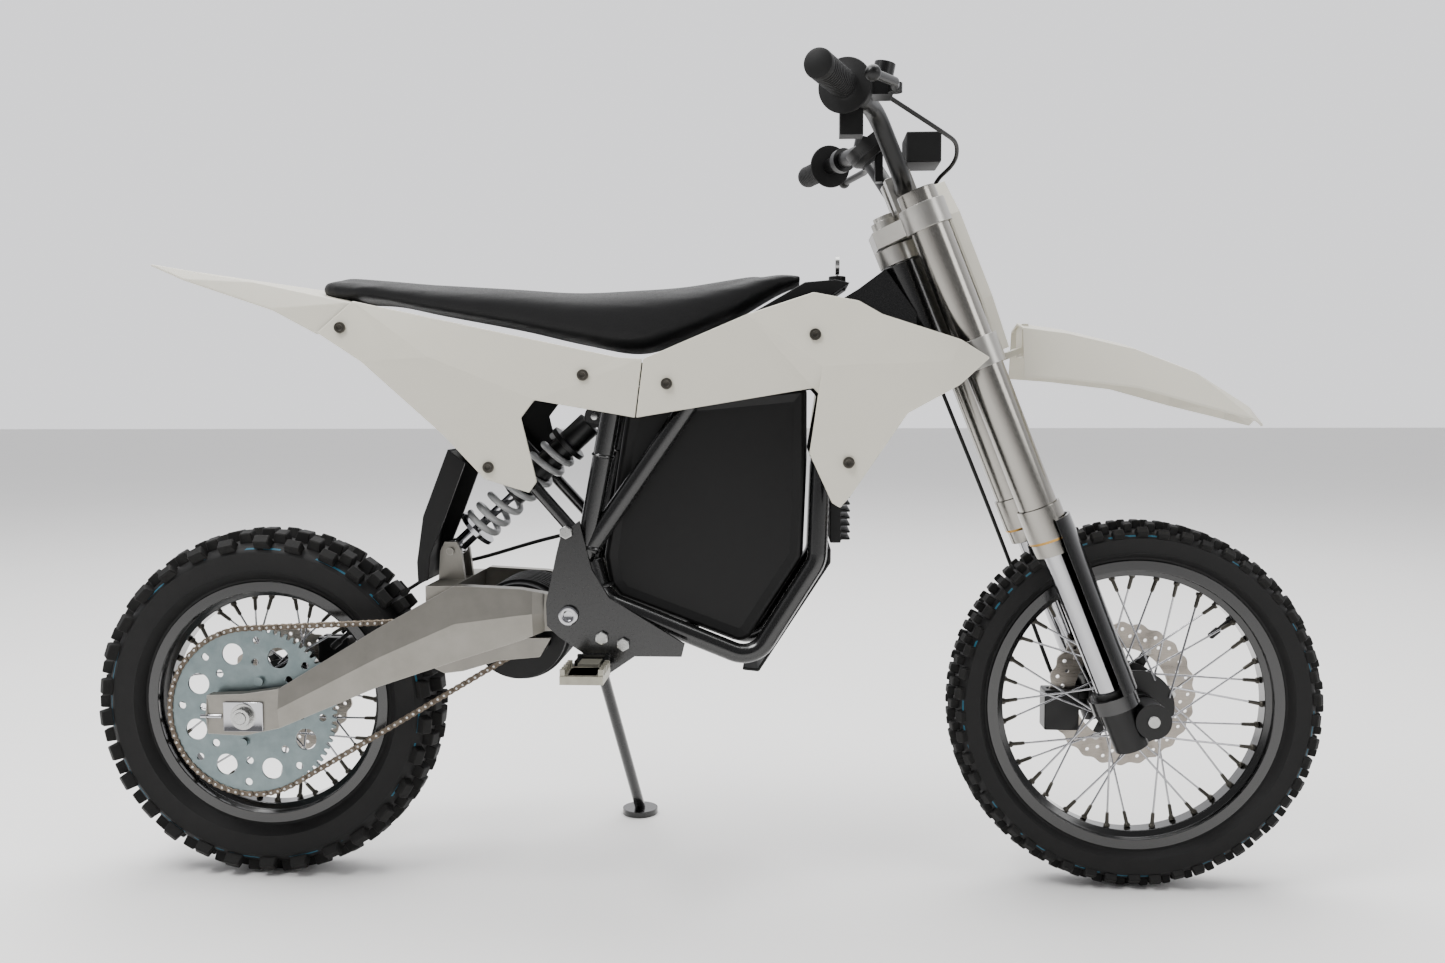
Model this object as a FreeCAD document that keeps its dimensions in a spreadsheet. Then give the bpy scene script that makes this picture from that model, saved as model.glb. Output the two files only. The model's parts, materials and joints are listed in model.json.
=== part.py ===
"""Electric youth dirt bike: frame, suspension, wheels, drive, controls and bodywork.

Millimetres. +X is forward, +Y is the rider's left, +Z is up. The origin is on the ground, half way
between the two axles. The bike stands upright with its side stand down.
"""

import FreeCAD, Part
import math
import os
import re
from FreeCAD import Placement, Rotation
from FreeCAD import Vector as V

doc = FreeCAD.newDocument("youth_dirt_bike")

# ---------------------------------------------------------------- driving sizes
SIZES = {
    # layout
    "swing_reach": 420, "front_reach": 724, "pivot_height": 366, "rake_angle": 21.7,
    # tyres and rims
    "front_tyre_radius": 240, "front_tyre_width": 67, "front_rim_radius": 190, "front_rim_width": 44,
    "rear_tyre_radius": 233, "rear_tyre_width": 84, "rear_rim_radius": 164, "rear_rim_width": 56,
    "rim_wall": 3, "flange_height": 10, "tyre_wall": 9,
    # axles, hubs, spokes
    "axle_radius": 7.5, "running_gap": 0.05, "slide_gap": 0.3, "spoke_radius": 1.3, "hub_radius": 48,
    "disc_wall": 3.5, "front_disc_radius": 98, "rear_disc_radius": 88,
    # fork and steering
    "fork_outer_radius": 24, "fork_inner_radius": 17, "fork_spread": 82, "clamp_offset": 38,
    "axle_lead": 33, "stem_radius": 13, "head_radius": 29, "bar_radius": 11.1, "grip_wall": 5,
    # frame
    "tube_radius": 12.5, "plate_wall": 6, "pivot_bolt_radius": 8, "battery_wall": 3, "chain_gap": 30,
    "arm_wall": 17, "panel_wall": 3, "seat_half_width": 72,
    # drive
    "chain_pitch": 9.525, "sprocket_teeth": 72, "pinion_teeth": 14, "motor_radius": 62,
    # shock, pegs and stand
    "shock_spring_radius": 26, "shock_wire": 4.5, "shock_bolt_radius": 5, "peg_length": 74,
    "stand_radius": 8, "stand_foot_radius": 27,
}
sheet = doc.addObject("Spreadsheet::Sheet", "sizes")
for row, (word, amount) in enumerate(SIZES.items(), start=1):
    sheet.set(f"A{row}", word)
    sheet.set(f"B{row}", str(amount))
    sheet.setAlias(f"B{row}", word)
doc.recompute()


def size(word):
    """The sheet's present value of one driving size."""
    return float(getattr(sheet, word))


NODES = []
UPRIGHT = Rotation(V(1, 0, 0), 90)  # a sketch's X and Y become the bike's X and Z, and it pads towards -Y
AXLE_WISE = Rotation(V(1, 0, 0), -90)  # an object's own Z axis points along +Y
ACROSS = V(0, 1, 0)
FULL_TURN = 360.0


# ---------------------------------------------------------------- small modelling helpers
def bind(thing, **rules):
    """Sets each property to a number, or binds it to an expression of the sheet's aliases."""
    for prop, rule in rules.items():
        if isinstance(rule, str):
            thing.setExpression(prop, re.sub(r"[a-z_]{3,}", lambda word: "sizes." + word.group(), rule))
        else:
            setattr(thing, prop, rule)
    return thing


def node(label, thing):
    """Names a finished sub-part."""
    thing.Label = label
    NODES.append(thing)
    return thing


def aimed(start, direction):
    """A placement at start whose own Z axis points along direction."""
    return Placement(V(*start), Rotation(V(0, 0, 1), V(*direction)))


def rod(name, radius, length, start, direction):
    """A round bar."""
    thing = bind(doc.addObject("Part::Cylinder", name), Radius=radius, Height=length)
    thing.Placement = aimed(start, direction)
    return thing


def rod_between(name, radius, start, end):
    """A round bar from one point to another."""
    run = V(*end) - V(*start)
    return rod(name, radius, run.Length, start, run)


def block(name, corner, length, width, height):
    """A square-edged block, from its lowest corner."""
    thing = bind(doc.addObject("Part::Box", name), Length=length, Width=width, Height=height)
    thing.Placement.Base = V(*corner)
    return thing


def group(name, things):
    """Several separate solids in one object."""
    thing = doc.addObject("Part::Compound", name)
    thing.Links = things
    return thing


def fused(name, things):
    """Things welded or moulded as one."""
    thing = doc.addObject("Part::MultiFuse", name)
    thing.Shapes = things
    return thing


def cut(name, base, *tools):
    """base with tools taken away."""
    thing = doc.addObject("Part::Cut", name)
    thing.Base = base
    thing.Tool = tools[0] if len(tools) == 1 else group(name + "_cutters", list(tools))
    return thing


def mirrored(name, source):
    """The same thing on the bike's other side."""
    thing = doc.addObject("Part::Mirroring", name)
    thing.Source = source
    thing.Normal = ACROSS
    return thing


def ring(name, outer, inner, length, start, direction):
    """A sleeve or washer."""
    inner_rod = rod(name + "_bore", inner, length, start, direction)
    return cut(name, rod(name + "_blank", outer, length, start, direction), inner_rod)


def plane_of(body, role):
    return next(f for f in body.Origin.OriginFeatures if f.Role == role)


def sketch_in(body, role, outline, holes=()):
    """A closed outline of straight edges, with round holes given as (x, y, radius)."""
    sketch = body.newObject("Sketcher::SketchObject", body.Name + "_sketch")
    sketch.AttachmentSupport = [(plane_of(body, role), "")]
    sketch.MapMode = "FlatFace"
    corners = [V(x, y, 0) for x, y in outline]
    for start, end in zip(corners, corners[1:] + corners[:1]):
        sketch.addGeometry(Part.LineSegment(start, end), False)
    for x, y, radius in holes:
        sketch.addGeometry(Part.Circle(V(x, y, 0), V(0, 0, 1), radius), False)
    return sketch


def plate(name, outline, thickness, placement, holes=()):
    """A flat piece: an outline in its own XY plane, padded along its own Z."""
    body = doc.addObject("PartDesign::Body", name)
    sketch = sketch_in(body, "XY_Plane", outline, holes)
    pad = body.newObject("PartDesign::Pad", name + "_pad")
    pad.Profile = sketch
    bind(pad, Length=thickness)
    body.Placement = placement
    return body


def side_plate(name, outline, thickness, left_face, holes=()):
    """A flat piece seen from the side: its outline is in X and Z and its left face is at Y = left_face."""
    return plate(name, outline, thickness, Placement(V(0, left_face, 0), UPRIGHT), holes)


def turned(name, profile, placement):
    """A turned piece: a profile of (radius, height) points spun about its own Z axis."""
    body = doc.addObject("PartDesign::Body", name)
    sketch = sketch_in(body, "XZ_Plane", profile)
    turn = body.newObject("PartDesign::Revolution", name + "_turn")
    turn.Profile = sketch
    turn.ReferenceAxis = (sketch, ["V_Axis"])
    turn.Angle = FULL_TURN
    body.Placement = placement
    return body


def route(points, bend):
    """A wire of straight runs joined by tangent arcs of the given radius, or of 0.45 of the shorter run."""
    points = [V(*p) for p in points]
    edges, here = [], points[0]
    for before, corner, after in zip(points, points[1:], points[2:]):
        back, on = (before - corner).normalize(), (after - corner).normalize()
        half_turn = (math.pi - back.getAngle(on)) / 2
        shorter = min((before - corner).Length, (after - corner).Length)
        reach = 0.45 * shorter
        if bend:
            reach = min(reach, bend * math.tan(half_turn))
        start, end = corner + back * reach, corner + on * reach
        radius = reach / math.tan(half_turn)
        middle_way = (back + on).normalize()
        centre = corner + middle_way * (radius / math.cos(half_turn))
        edges += [Part.LineSegment(here, start).toShape(),
                  Part.Arc(start, centre - middle_way * radius, end).toShape()]
        here = end
    edges.append(Part.LineSegment(here, points[-1]).toShape())
    return Part.Wire(edges)


def bent_tube(name, points, radius, bend=0.0):
    """A round bar swept along a route of runs and arcs."""
    spine = doc.addObject("Part::Feature", name + "_route")
    spine.Shape = route(points, bend)
    section = bind(doc.addObject("Part::Circle", name + "_section"), Radius=radius)
    section.Placement = aimed(points[0], V(*points[1]) - V(*points[0]))
    thing = doc.addObject("Part::Sweep", name)
    thing.Sections = [section]
    thing.Spine = (spine, [f"Edge{i + 1}" for i in range(len(spine.Shape.Edges))])
    thing.Solid = True
    return thing


def shell_panel(name, points, faces, inward):
    """A faceted moulding: triangles over named corners, and the same ones moved inward by a wall's depth."""
    outer = {key: V(*p) for key, p in points.items()}
    inner = {key: p + inward for key, p in outer.items()}
    skins, borders = [], set()
    for corners in faces:
        skins += [(outer[a] for a in corners), (inner[a] for a in corners)]
        for a, b in zip(corners, corners[1:] + corners[:1]):
            borders ^= {frozenset((a, b))}
    for a, b in (sorted(pair) for pair in borders):
        skins += [(outer[a], outer[b], inner[b]), (outer[a], inner[b], inner[a])]
    flat = []
    for corners in skins:
        loop = list(corners)
        flat.append(Part.Face(Part.makePolygon(loop + loop[:1])))
    solid = Part.Solid(Part.Shell(flat))
    if solid.Volume < 0:
        solid.reverse()
    thing = doc.addObject("Part::Feature", name)
    thing.Shape = solid
    return thing


def beam(name, stations):
    """A box beam lofted through upright rectangles, each (x, low z, high z, right y, left y)."""
    loops = []
    for x, low, high, right, left in stations:
        loops.append(Part.makePolygon([V(x, right, low), V(x, left, low), V(x, left, high), V(x, right, high),
                                       V(x, right, low)]))
    thing = doc.addObject("Part::Feature", name)
    thing.Shape = Part.makeLoft(loops, True, True)
    return thing


def inset(outline, depth):
    """A convex outline moved inwards by depth."""
    ahead = list(zip(outline, outline[1:] + outline[:1]))
    turning = sum(a[0] * b[1] - b[0] * a[1] for a, b in ahead)
    side = 1 if turning > 0 else -1
    lines = []
    for (ax, ay), (bx, by) in ahead:
        run = math.hypot(bx - ax, by - ay)
        nx, ny = -side * (by - ay) / run, side * (bx - ax) / run
        lines.append((nx, ny, nx * ax + ny * ay + depth))
    moved = []
    for (n1, m1, c1), (n2, m2, c2) in zip(lines[-1:] + lines[:-1], lines):
        det = n1 * m2 - n2 * m1
        moved.append(((c1 * m2 - c2 * m1) / det, (n1 * c2 - n2 * c1) / det))
    return moved


# ---------------------------------------------------------------- layout worked out from the sizes
wheelbase = size("swing_reach") + size("front_reach")
rear_axle = V(-wheelbase / 2, 0, size("rear_tyre_radius"))
front_axle = V(wheelbase / 2, 0, size("front_tyre_radius"))
pivot = V(rear_axle.x + size("swing_reach"), 0, size("pivot_height"))
rake = math.radians(size("rake_angle"))
fork_up = V(-math.sin(rake), 0, math.cos(rake))
fork_ahead = V(math.cos(rake), 0, math.sin(rake))
slide_gap = size("slide_gap")


def on_fork(height, side=0.0, ahead=0.0):
    """A point by the fork legs' axis: height along it above the front axle, side in Y."""
    return front_axle + fork_ahead * (ahead - size("axle_lead")) + fork_up * height + V(0, side, 0)


def on_stem(height, ahead=0.0, side=0.0):
    """A point by the steering axis, at a height along it above the front axle."""
    return on_fork(height, side, ahead - size("clamp_offset"))


HEAD_LOW, HEAD_HIGH = 519, 642
head = on_stem((HEAD_LOW + HEAD_HIGH) / 2)
DRAWN_FRAME = 443.3  # the frame's length from pivot to head that its stations are drawn for
DRAWN_ARM = 420.0  # the swingarm's length that its stations are drawn for
steering_turn = Rotation(V(0, 1, 0), -size("rake_angle"))


def fx(ahead):
    """The X of a frame station, drawn in mm ahead of the swingarm pivot."""
    return pivot.x + ahead * (head.x - pivot.x) / DRAWN_FRAME


def ax(behind):
    """The X of a swingarm station, drawn in mm behind the swingarm pivot."""
    return pivot.x - behind * size("swing_reach") / DRAWN_ARM


def frame_outline(points):
    return [(fx(ahead), z) for ahead, z in points]


half_rear_tyre = size("rear_tyre_width") / 2
chain_line = half_rear_tyre + size("chain_gap")
arm_inner = chain_line + 9
arm_outer = arm_inner + size("arm_wall")
plate_inner = arm_inner + 6
tube_line = plate_inner - size("tube_radius")
battery_half = tube_line - size("tube_radius") - 3
bolt_reach = plate_inner + size("plate_wall")
sprocket_radius = size("chain_pitch") / 2 / math.sin(math.pi / size("sprocket_teeth"))
pinion_radius = size("chain_pitch") / 2 / math.sin(math.pi / size("pinion_teeth"))
motor_axis = V(pivot.x - 72, 0, pivot.z - 28)


# ---------------------------------------------------------------- wheels
def wheel_parts(end, centre, spoke_count, spoke_lean):
    """Tyre, rim and spokes of one wheel, turned about its axle."""
    at = Placement(centre, AXLE_WISE)
    tread, half = size(f"{end}_tyre_radius"), size(f"{end}_tyre_width") / 2
    lip, rim_half = size(f"{end}_rim_radius"), size(f"{end}_rim_width") / 2
    wall, rubber = size("rim_wall"), size("tyre_wall")
    seat = lip - size("flange_height")
    side_path = [(seat, rim_half - wall), (lip + 2, rim_half - wall), (lip + 8, half * 0.9),
                 ((lip + tread) / 2, half), (tread - 12, half * 0.96), (tread - 3, half * 0.6),
                 (tread, half * 0.3)]
    inner_path = [(seat, rim_half - wall - rubber), (lip + 10, half - rubber - 3),
                  (tread - 26, half - rubber - 1), (tread - 14, half * 0.45)]
    profile = (side_path + [(r, -y) for r, y in reversed(side_path)] + [(r, -y) for r, y in inner_path]
               + list(reversed(inner_path)))
    node(f"{end}_tyre", turned(f"{end}_tyre_body", profile, at))
    well = seat - 8
    rim_out = [(lip, rim_half), (lip, rim_half - wall), (seat, rim_half - wall), (seat, 13), (well, 9)]
    rim_in = [(seat - wall - 1, rim_half), (seat - wall - 1, 15), (well - wall - 1, 11)]
    profile = (rim_out + [(r, -y) for r, y in reversed(rim_out)] + [(r, -y) for r, y in rim_in]
               + list(reversed(rim_in)))
    node(f"{end}_rim", turned(f"{end}_rim_body", profile, at))
    spokes = []
    for i in range(spoke_count):
        side = 1 if i % 2 else -1
        lean = 1 if i // 2 % 2 else -1
        rim_way = math.radians(FULL_TURN * i / spoke_count)
        hub_way = rim_way - lean * math.radians(spoke_lean)
        foot_radius, hub_y = size("hub_radius") - 6, HUB_FLANGE_Y + lean * HUB_SPOKE_STEP
        foot = V(foot_radius * math.cos(hub_way), side * hub_y, foot_radius * math.sin(hub_way))
        top_radius = well - wall - 1.5
        top = V(top_radius * math.cos(rim_way), side * 4, top_radius * math.sin(rim_way))
        spokes.append(rod_between(f"{end}_spoke_{i}", size("spoke_radius"), centre + foot, centre + top))
    node(f"{end}_spokes", group(f"{end}_spoke_set", spokes))


def bearing_pair(name, centre, y_places):
    """Two wheel bearings as sleeves on the axle, with a running gap."""
    return [ring(f"{name}_bearing_{i}", 16, "axle_radius + running_gap", 10, centre + V(0, y, 0), ACROSS)
            for i, y in enumerate(y_places)]


def hub(end, centre, half_length, disc_y, sprocket_y=0.0):
    """A hub with two spoke flanges, a disc seat and two bearings."""
    flange = size("hub_radius")
    right_end = [(16, -half_length), (22, -half_length), (22, -HUB_FLANGE_Y - 1.7)]
    if sprocket_y:
        right_end = [(16, -half_length), (22, -half_length), (22, -sprocket_y), (52, -sprocket_y),
                     (52, -sprocket_y + 8), (24, -sprocket_y + 8), (24, -HUB_FLANGE_Y - 1.7)]
    profile = right_end + [(flange, -HUB_FLANGE_Y - 1.7), (flange, -HUB_FLANGE_Y + 1.7),
                           (24, -HUB_FLANGE_Y + 4), (20, 0), (24, HUB_FLANGE_Y - 4),
                           (flange, HUB_FLANGE_Y - 1.7), (flange, HUB_FLANGE_Y + 1.7),
                           (26, HUB_FLANGE_Y + 2), (26, disc_y - 6), (36, disc_y - 6), (36, disc_y),
                           (22, disc_y), (22, half_length), (16, half_length)]
    shell = turned(f"{end}_hub_shell", profile, Placement(centre, AXLE_WISE))
    bearings = bearing_pair(end, centre, (-half_length, half_length - 10))
    node(f"{end}_hub", group(f"{end}_hub_set", [shell] + bearings))


def brake_disc(end, centre, disc_y):
    """A wave disc: scalloped rim, a ring of holes and an open middle."""
    radius, wave_count, wave_depth = size(f"{end}_disc_radius"), 12, 3.0
    outline = []
    for i in range(wave_count * 8):
        turn = 2 * math.pi * i / (wave_count * 8)
        r = radius - wave_depth * (1 - math.cos(wave_count * turn)) / 2
        outline.append((r * math.cos(turn), r * math.sin(turn)))
    holes = [(0, 0, 23)]
    for i in range(wave_count):
        turn = 2 * math.pi * (i + 0.5) / wave_count
        holes.append(((radius - 14) * math.cos(turn), (radius - 14) * math.sin(turn), 4))
    for i in range(6):
        turn = 2 * math.pi * i / 6
        holes.append((56 * math.cos(turn), 56 * math.sin(turn), 9))
    at = Placement(centre + V(0, disc_y, 0), AXLE_WISE)
    node(f"{end}_disc", plate(f"{end}_disc_plate", outline, "disc_wall", at, holes))


HUB_FLANGE_Y, HUB_SPOKE_STEP = 26.5, 3.3
FRONT_DISC_Y, REAR_DISC_Y = 44, 52
FRONT_HUB_HALF, REAR_HUB_HALF = 50, 72
wheel_parts("front", front_axle, 36, 42)
hub("front", front_axle, FRONT_HUB_HALF, FRONT_DISC_Y)
brake_disc("front", front_axle, FRONT_DISC_Y)

wheel_parts("rear", rear_axle, 32, 42)
sprocket_face = chain_line - 1.6
hub("rear", rear_axle, chain_line + 4, REAR_DISC_Y, sprocket_face)
brake_disc("rear", rear_axle, REAR_DISC_Y)


# ---------------------------------------------------------------- chain drive
def toothed_outline(teeth, radius, first_tooth):
    """A sprocket's outline: trapezoid teeth that stand in the chain's gaps."""
    outline = []
    step = 2 * math.pi / teeth
    for i in range(teeth):
        for share, height in ((-0.32, -3.4), (-0.14, 2.6), (0.14, 2.6), (0.32, -3.4)):
            turn = first_tooth + (i + share) * step
            outline.append(((radius + height) * math.cos(turn), (radius + height) * math.sin(turn)))
    return outline


sprocket_holes = [(0, 0, 24.5)]
for i in range(8):
    turn = 2 * math.pi * (i + 0.6) / 8
    sprocket_holes.append((79 * math.cos(turn), 79 * math.sin(turn), 14))
    for ring_radius in (65, 93.5):
        turned_on = turn + math.pi / 8
        sprocket_holes.append((ring_radius * math.cos(turned_on), ring_radius * math.sin(turned_on), 5))
SPROCKET_WALL = 3.2
sprocket_at = Placement(rear_axle + V(0, -sprocket_face - SPROCKET_WALL, 0), AXLE_WISE)
sprocket_blank = plate("rear_sprocket_plate", toothed_outline(int(size("sprocket_teeth")), sprocket_radius,
                                                              0.0),
                       SPROCKET_WALL, sprocket_at, sprocket_holes)
sprocket_bolts = []
for i in range(4):
    turn = math.radians(74 + 90 * i)
    spot = rear_axle + V(42 * math.cos(turn), -sprocket_face - SPROCKET_WALL, 42 * math.sin(turn))
    sprocket_bolts.append(rod(f"sprocket_bolt_{i}", 5.5, 5, spot, -ACROSS))
node("rear_sprocket", group("rear_sprocket_set", [sprocket_blank] + sprocket_bolts))

pinion_at = Placement(motor_axis + V(0, -sprocket_face - SPROCKET_WALL, 0), AXLE_WISE)
pinion = plate("pinion_plate", toothed_outline(int(size("pinion_teeth")), pinion_radius, 0.1), SPROCKET_WALL,
               pinion_at, [(0, 0, 9.3)])
pinion_shaft = rod("pinion_shaft", 9, chain_line - 55, motor_axis + V(0, -56, 0), -ACROSS)
node("motor_sprocket", group("motor_sprocket_set", [pinion, pinion_shaft]))


def belt_wire(grow, y):
    """A loop round both sprockets, grow outside the chain's pitch line."""
    big, small = sprocket_radius + grow, pinion_radius + grow
    between = V(motor_axis.x - rear_axle.x, 0, motor_axis.z - rear_axle.z)
    way, wrap = math.atan2(between.z, between.x), math.acos((big - small) / between.Length)

    def spot(centre, radius, turn):
        return V(centre.x + radius * math.cos(turn), y, centre.z + radius * math.sin(turn))

    top_big, low_big = spot(rear_axle, big, way + wrap), spot(rear_axle, big, way - wrap)
    top_small, low_small = spot(motor_axis, small, way + wrap), spot(motor_axis, small, way - wrap)
    edges = [Part.LineSegment(top_big, top_small), Part.Arc(top_small, spot(motor_axis, small, way),
                                                            low_small),
             Part.LineSegment(low_small, low_big), Part.Arc(low_big, spot(rear_axle, big, way + math.pi),
                                                            top_big)]
    return Part.Wire([edge.toShape() for edge in edges])


links = []
LINK_HALF, LINK_WALL, LINK_INNER = 4.2, 1.4, 2.2
for i, y in enumerate((-chain_line + LINK_INNER, -chain_line - LINK_INNER - LINK_WALL)):
    band = Part.Face(belt_wire(LINK_HALF, y)).cut(Part.Face(belt_wire(-LINK_HALF, y)))
    links.append(band.extrude(V(0, LINK_WALL, 0)))
chain = doc.addObject("Part::Feature", "drive_chain_loops")
chain.Shape = Part.makeCompound(links)
node("drive_chain", chain)

# ---------------------------------------------------------------- motor and swingarm
motor_half = chain_line - 14
BRACKET_DEPTH = 14
motor_core = rod("motor_core", "motor_radius", 2 * motor_half, motor_axis + V(0, -motor_half, 0), ACROSS)
motor_fins = [ring(f"motor_fin_{i}", "motor_radius + 4", "motor_radius", 3, motor_axis + V(0, y, 0), ACROSS)
              for i, y in enumerate(range(-40, 41, 10))]
motor_bore = rod("motor_bore", 10, motor_half, motor_axis + V(0, -motor_half - 1, 0), ACROSS)
motor_shell = cut("motor_shell", fused("motor_blank", [motor_core] + motor_fins), motor_bore)
standoffs = []
for side in (-1, 1):
    for i, (behind, below) in enumerate(((36, 42), (110, 55))):
        start = V(pivot.x - behind, side * motor_half, pivot.z - below)
        standoffs.append(rod(f"motor_standoff_{side}_{i}", 6, arm_outer - BRACKET_DEPTH - motor_half, start,
                             V(0, side, 0)))
node("drive_motor", fused("motor_all", [motor_shell] + standoffs))


def arm_stations(side):
    """Rectangles along one swingarm arm, from its tail past the axle to the pivot."""
    drawn = [(468, 210, 260, 0), (420, 208, 262, 0), (374, 218, 269, 0), (242, 274, 349, 2),
             (144, 307, 403, 0), (62, 333, 399, -3), (46, 339, 396, -4.5), (32, 344, 392, -12),
             (0, 345, 387, -13)]
    floor = size("rear_tyre_radius") - 233
    stations = []
    for behind, low, high, out in drawn:
        outer = side * (arm_outer + out)
        inner = side * (arm_outer + out - size("arm_wall"))
        lift = floor if behind > 300 else 0
        stations.append((ax(behind), low + lift, high + lift, min(inner, outer), max(inner, outer)))
    return stations


ARM_FRONT_OUT = -13
arm_front_outer = arm_outer + ARM_FRONT_OUT
axle_slot = rod("axle_slot", "axle_radius + 0.2", 2 * arm_outer + 20, rear_axle - ACROSS * (arm_outer + 10),
                ACROSS)
pivot_bush = rod("pivot_bush", 24, 2 * arm_front_outer, pivot - ACROSS * arm_front_outer, ACROSS)
pivot_bore = rod("pivot_bore", "pivot_bolt_radius + slide_gap", 2 * arm_front_outer + 4,
                 pivot - ACROSS * (arm_front_outer + 2), ACROSS)
motor_room = rod("motor_room", "motor_radius + 4.5", 2 * motor_half + 4,
                 motor_axis - ACROSS * (motor_half + 2), ACROSS)
cross_bar = block("arm_cross_bar", (ax(186), -arm_inner - 1, pivot.z + 6), 36, 2 * arm_inner + 2, 28)
LUG_HALF = 17
shock_low = V(ax(169), 0, pivot.z + 72)
lug_outline = [(ax(186), pivot.z + 30), (ax(150), pivot.z + 30), (shock_low.x + 14, shock_low.z),
               (shock_low.x + 8, shock_low.z + 12), (shock_low.x - 8, shock_low.z + 12),
               (shock_low.x - 14, shock_low.z)]
lugs = [side_plate(f"shock_lug_{i}", lug_outline, 7, y,
                   [(shock_low.x, shock_low.z, size("shock_bolt_radius"))])
        for i, y in enumerate((LUG_HALF + 7, -LUG_HALF))]
bracket_outline = [(ax(181), pivot.z - 66), (ax(160), pivot.z - 76), (ax(136), pivot.z - 73),
                   (ax(90), pivot.z - 59),
                   (ax(38), pivot.z - 54), (ax(24), pivot.z - 30), (ax(90), pivot.z - 30),
                   (ax(150), pivot.z - 50)]
bracket = side_plate("motor_bracket", bracket_outline, 8, BRACKET_DEPTH - arm_outer)
welded = [beam("arm_right", arm_stations(-1)), beam("arm_left", arm_stations(1)), pivot_bush,
          cross_bar] + lugs
welded += [bracket, mirrored("motor_bracket_left", bracket)]
swingarm = cut("swingarm_welded", fused("swingarm_blank", welded), axle_slot, pivot_bore, motor_room)
shock_pin = rod("shock_low_bolt", "shock_bolt_radius", 2 * (LUG_HALF + 11),
                shock_low - ACROSS * (LUG_HALF + 11), ACROSS)
node("swingarm", group("swingarm_set", [swingarm, shock_pin]))

axle_reach = arm_outer + 12
axle_rod = rod("rear_axle_rod", "axle_radius", 2 * axle_reach, rear_axle - ACROSS * axle_reach, ACROSS)
axle_bits = [axle_rod]
for side in (-1, 1):
    out = V(0, side, 0)
    start = rear_axle + out * arm_outer
    axle_bits += [ring(f"axle_nut_{side}", 12, "axle_radius", 8, start + out * 3, out),
                  ring(f"axle_plate_{side}", 17, "axle_radius", 3, start, out)]
    spacer_from = chain_line + 4.6
    axle_bits.append(ring(f"axle_spacer_{side}", 12, "axle_radius", arm_inner - spacer_from,
                          rear_axle + out * spacer_from, out))
node("rear_axle", group("rear_axle_set", axle_bits))


def caliper(name, centre, disc_y, half_gap, wide, tall, deep):
    """A brake caliper's body and the slot that its disc runs through."""
    body = block(name + "_body", centre + V(-wide / 2, -deep / 2, -tall / 2), wide, deep, tall)
    slot = block(name + "_slot", V(centre.x - wide, disc_y - half_gap, centre.z - tall), 2 * wide,
                 2 * half_gap, 2 * tall)
    return body, slot


disc_middle = REAR_DISC_Y + size("disc_wall") / 2
caliper_at = rear_axle + V(66, disc_middle, 56)
body, gap = caliper("rear_caliper", caliper_at, disc_middle, 3.5, 44, 40, 30)
bridge = block("rear_caliper_bridge", caliper_at + V(12, -15, 8), 10, 30, 12)
stay = block("rear_caliper_stay", caliper_at + V(-6, 15, -20), 40, arm_inner - disc_middle - 15.2, 20)
node("rear_caliper", fused("rear_caliper_all", [cut("rear_caliper_halves", body, gap), bridge, stay]))

# ---------------------------------------------------------------- frame
plate_outline = frame_outline([(14, 485), (-9, 468), (-16, 440), (-23, 407), (-29, 382), (-28, 352),
                               (-13, 338),
                               (20, 316), (45, 288), (83, 314), (142, 314), (146, 330), (51, 388), (29, 424)])
plate_holes = [(pivot.x, pivot.z, size("pivot_bolt_radius"))]
side_plate_right = side_plate("pivot_plate_right", plate_outline, "plate_wall", -plate_inner, plate_holes)
plate_pair = [side_plate_right, mirrored("pivot_plate_left", side_plate_right)]
pivot_bolt = rod("pivot_bolt_rod", "pivot_bolt_radius", 2 * (bolt_reach + 8),
                 pivot - ACROSS * (bolt_reach + 8), ACROSS)

SPAR_Z, NECK_HALF = 645, 34
neck_low = on_stem(HEAD_LOW + 18)


def frame_tubes(side):
    """The welded tubes of one side of the frame."""
    tag = "left" if side > 0 else "right"
    y, radius = side * tube_line, "tube_radius"
    seat_tube = rod_between(f"seat_tube_{tag}", radius, (fx(14), y, 420), (fx(57), y, SPAR_Z))
    diagonal = rod_between(f"diagonal_{tag}", radius, (fx(24), y, 448), (fx(152), y, 632))
    spar = bent_tube(f"spar_{tag}", [(fx(40), y, SPAR_Z - 6), (fx(160), y, 652), (fx(330), side * 40, 690),
                                     (fx(404), side * 28, 708)], radius, 90)
    cradle = bent_tube(f"cradle_{tag}", [(fx(26), y, 432), (fx(40), y, 384), (fx(232), side * 68, 306),
                                         (fx(312), side * 60, 432), (fx(317), side * 56, 556),
                                         (fx(396), side * 26, 696)], radius, 34)
    return [seat_tube, diagonal, spar, cradle]


tie_low = rod("tie_low", 9, 2 * tube_line, (fx(150), -tube_line, 340), ACROSS)
tie_top = rod("tie_top", 10, 2 * tube_line, (fx(52), -tube_line, SPAR_Z - 2), ACROSS)
shock_top = V(fx(24), 0, 615)
top_lug_outline = [(shock_top.x - 12, 608), (shock_top.x + 8, 604), (fx(58), SPAR_Z - 8),
                   (fx(58), SPAR_Z + 6), (fx(40), SPAR_Z + 6), (shock_top.x - 12, 622)]
top_lugs = [side_plate(f"shock_top_lug_{i}", top_lug_outline, 7, y,
                       [(shock_top.x, shock_top.z, size("shock_bolt_radius"))])
            for i, y in enumerate((LUG_HALF + 7, -LUG_HALF))]
node("main_frame", fused("main_frame_welded", frame_tubes(-1) + frame_tubes(1) + [tie_low,
                                                                                  tie_top] + top_lugs))
shock_top_bolt = rod("shock_top_bolt", "shock_bolt_radius", 2 * (LUG_HALF + 11),
                     shock_top - ACROSS * (LUG_HALF + 11), ACROSS)

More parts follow.
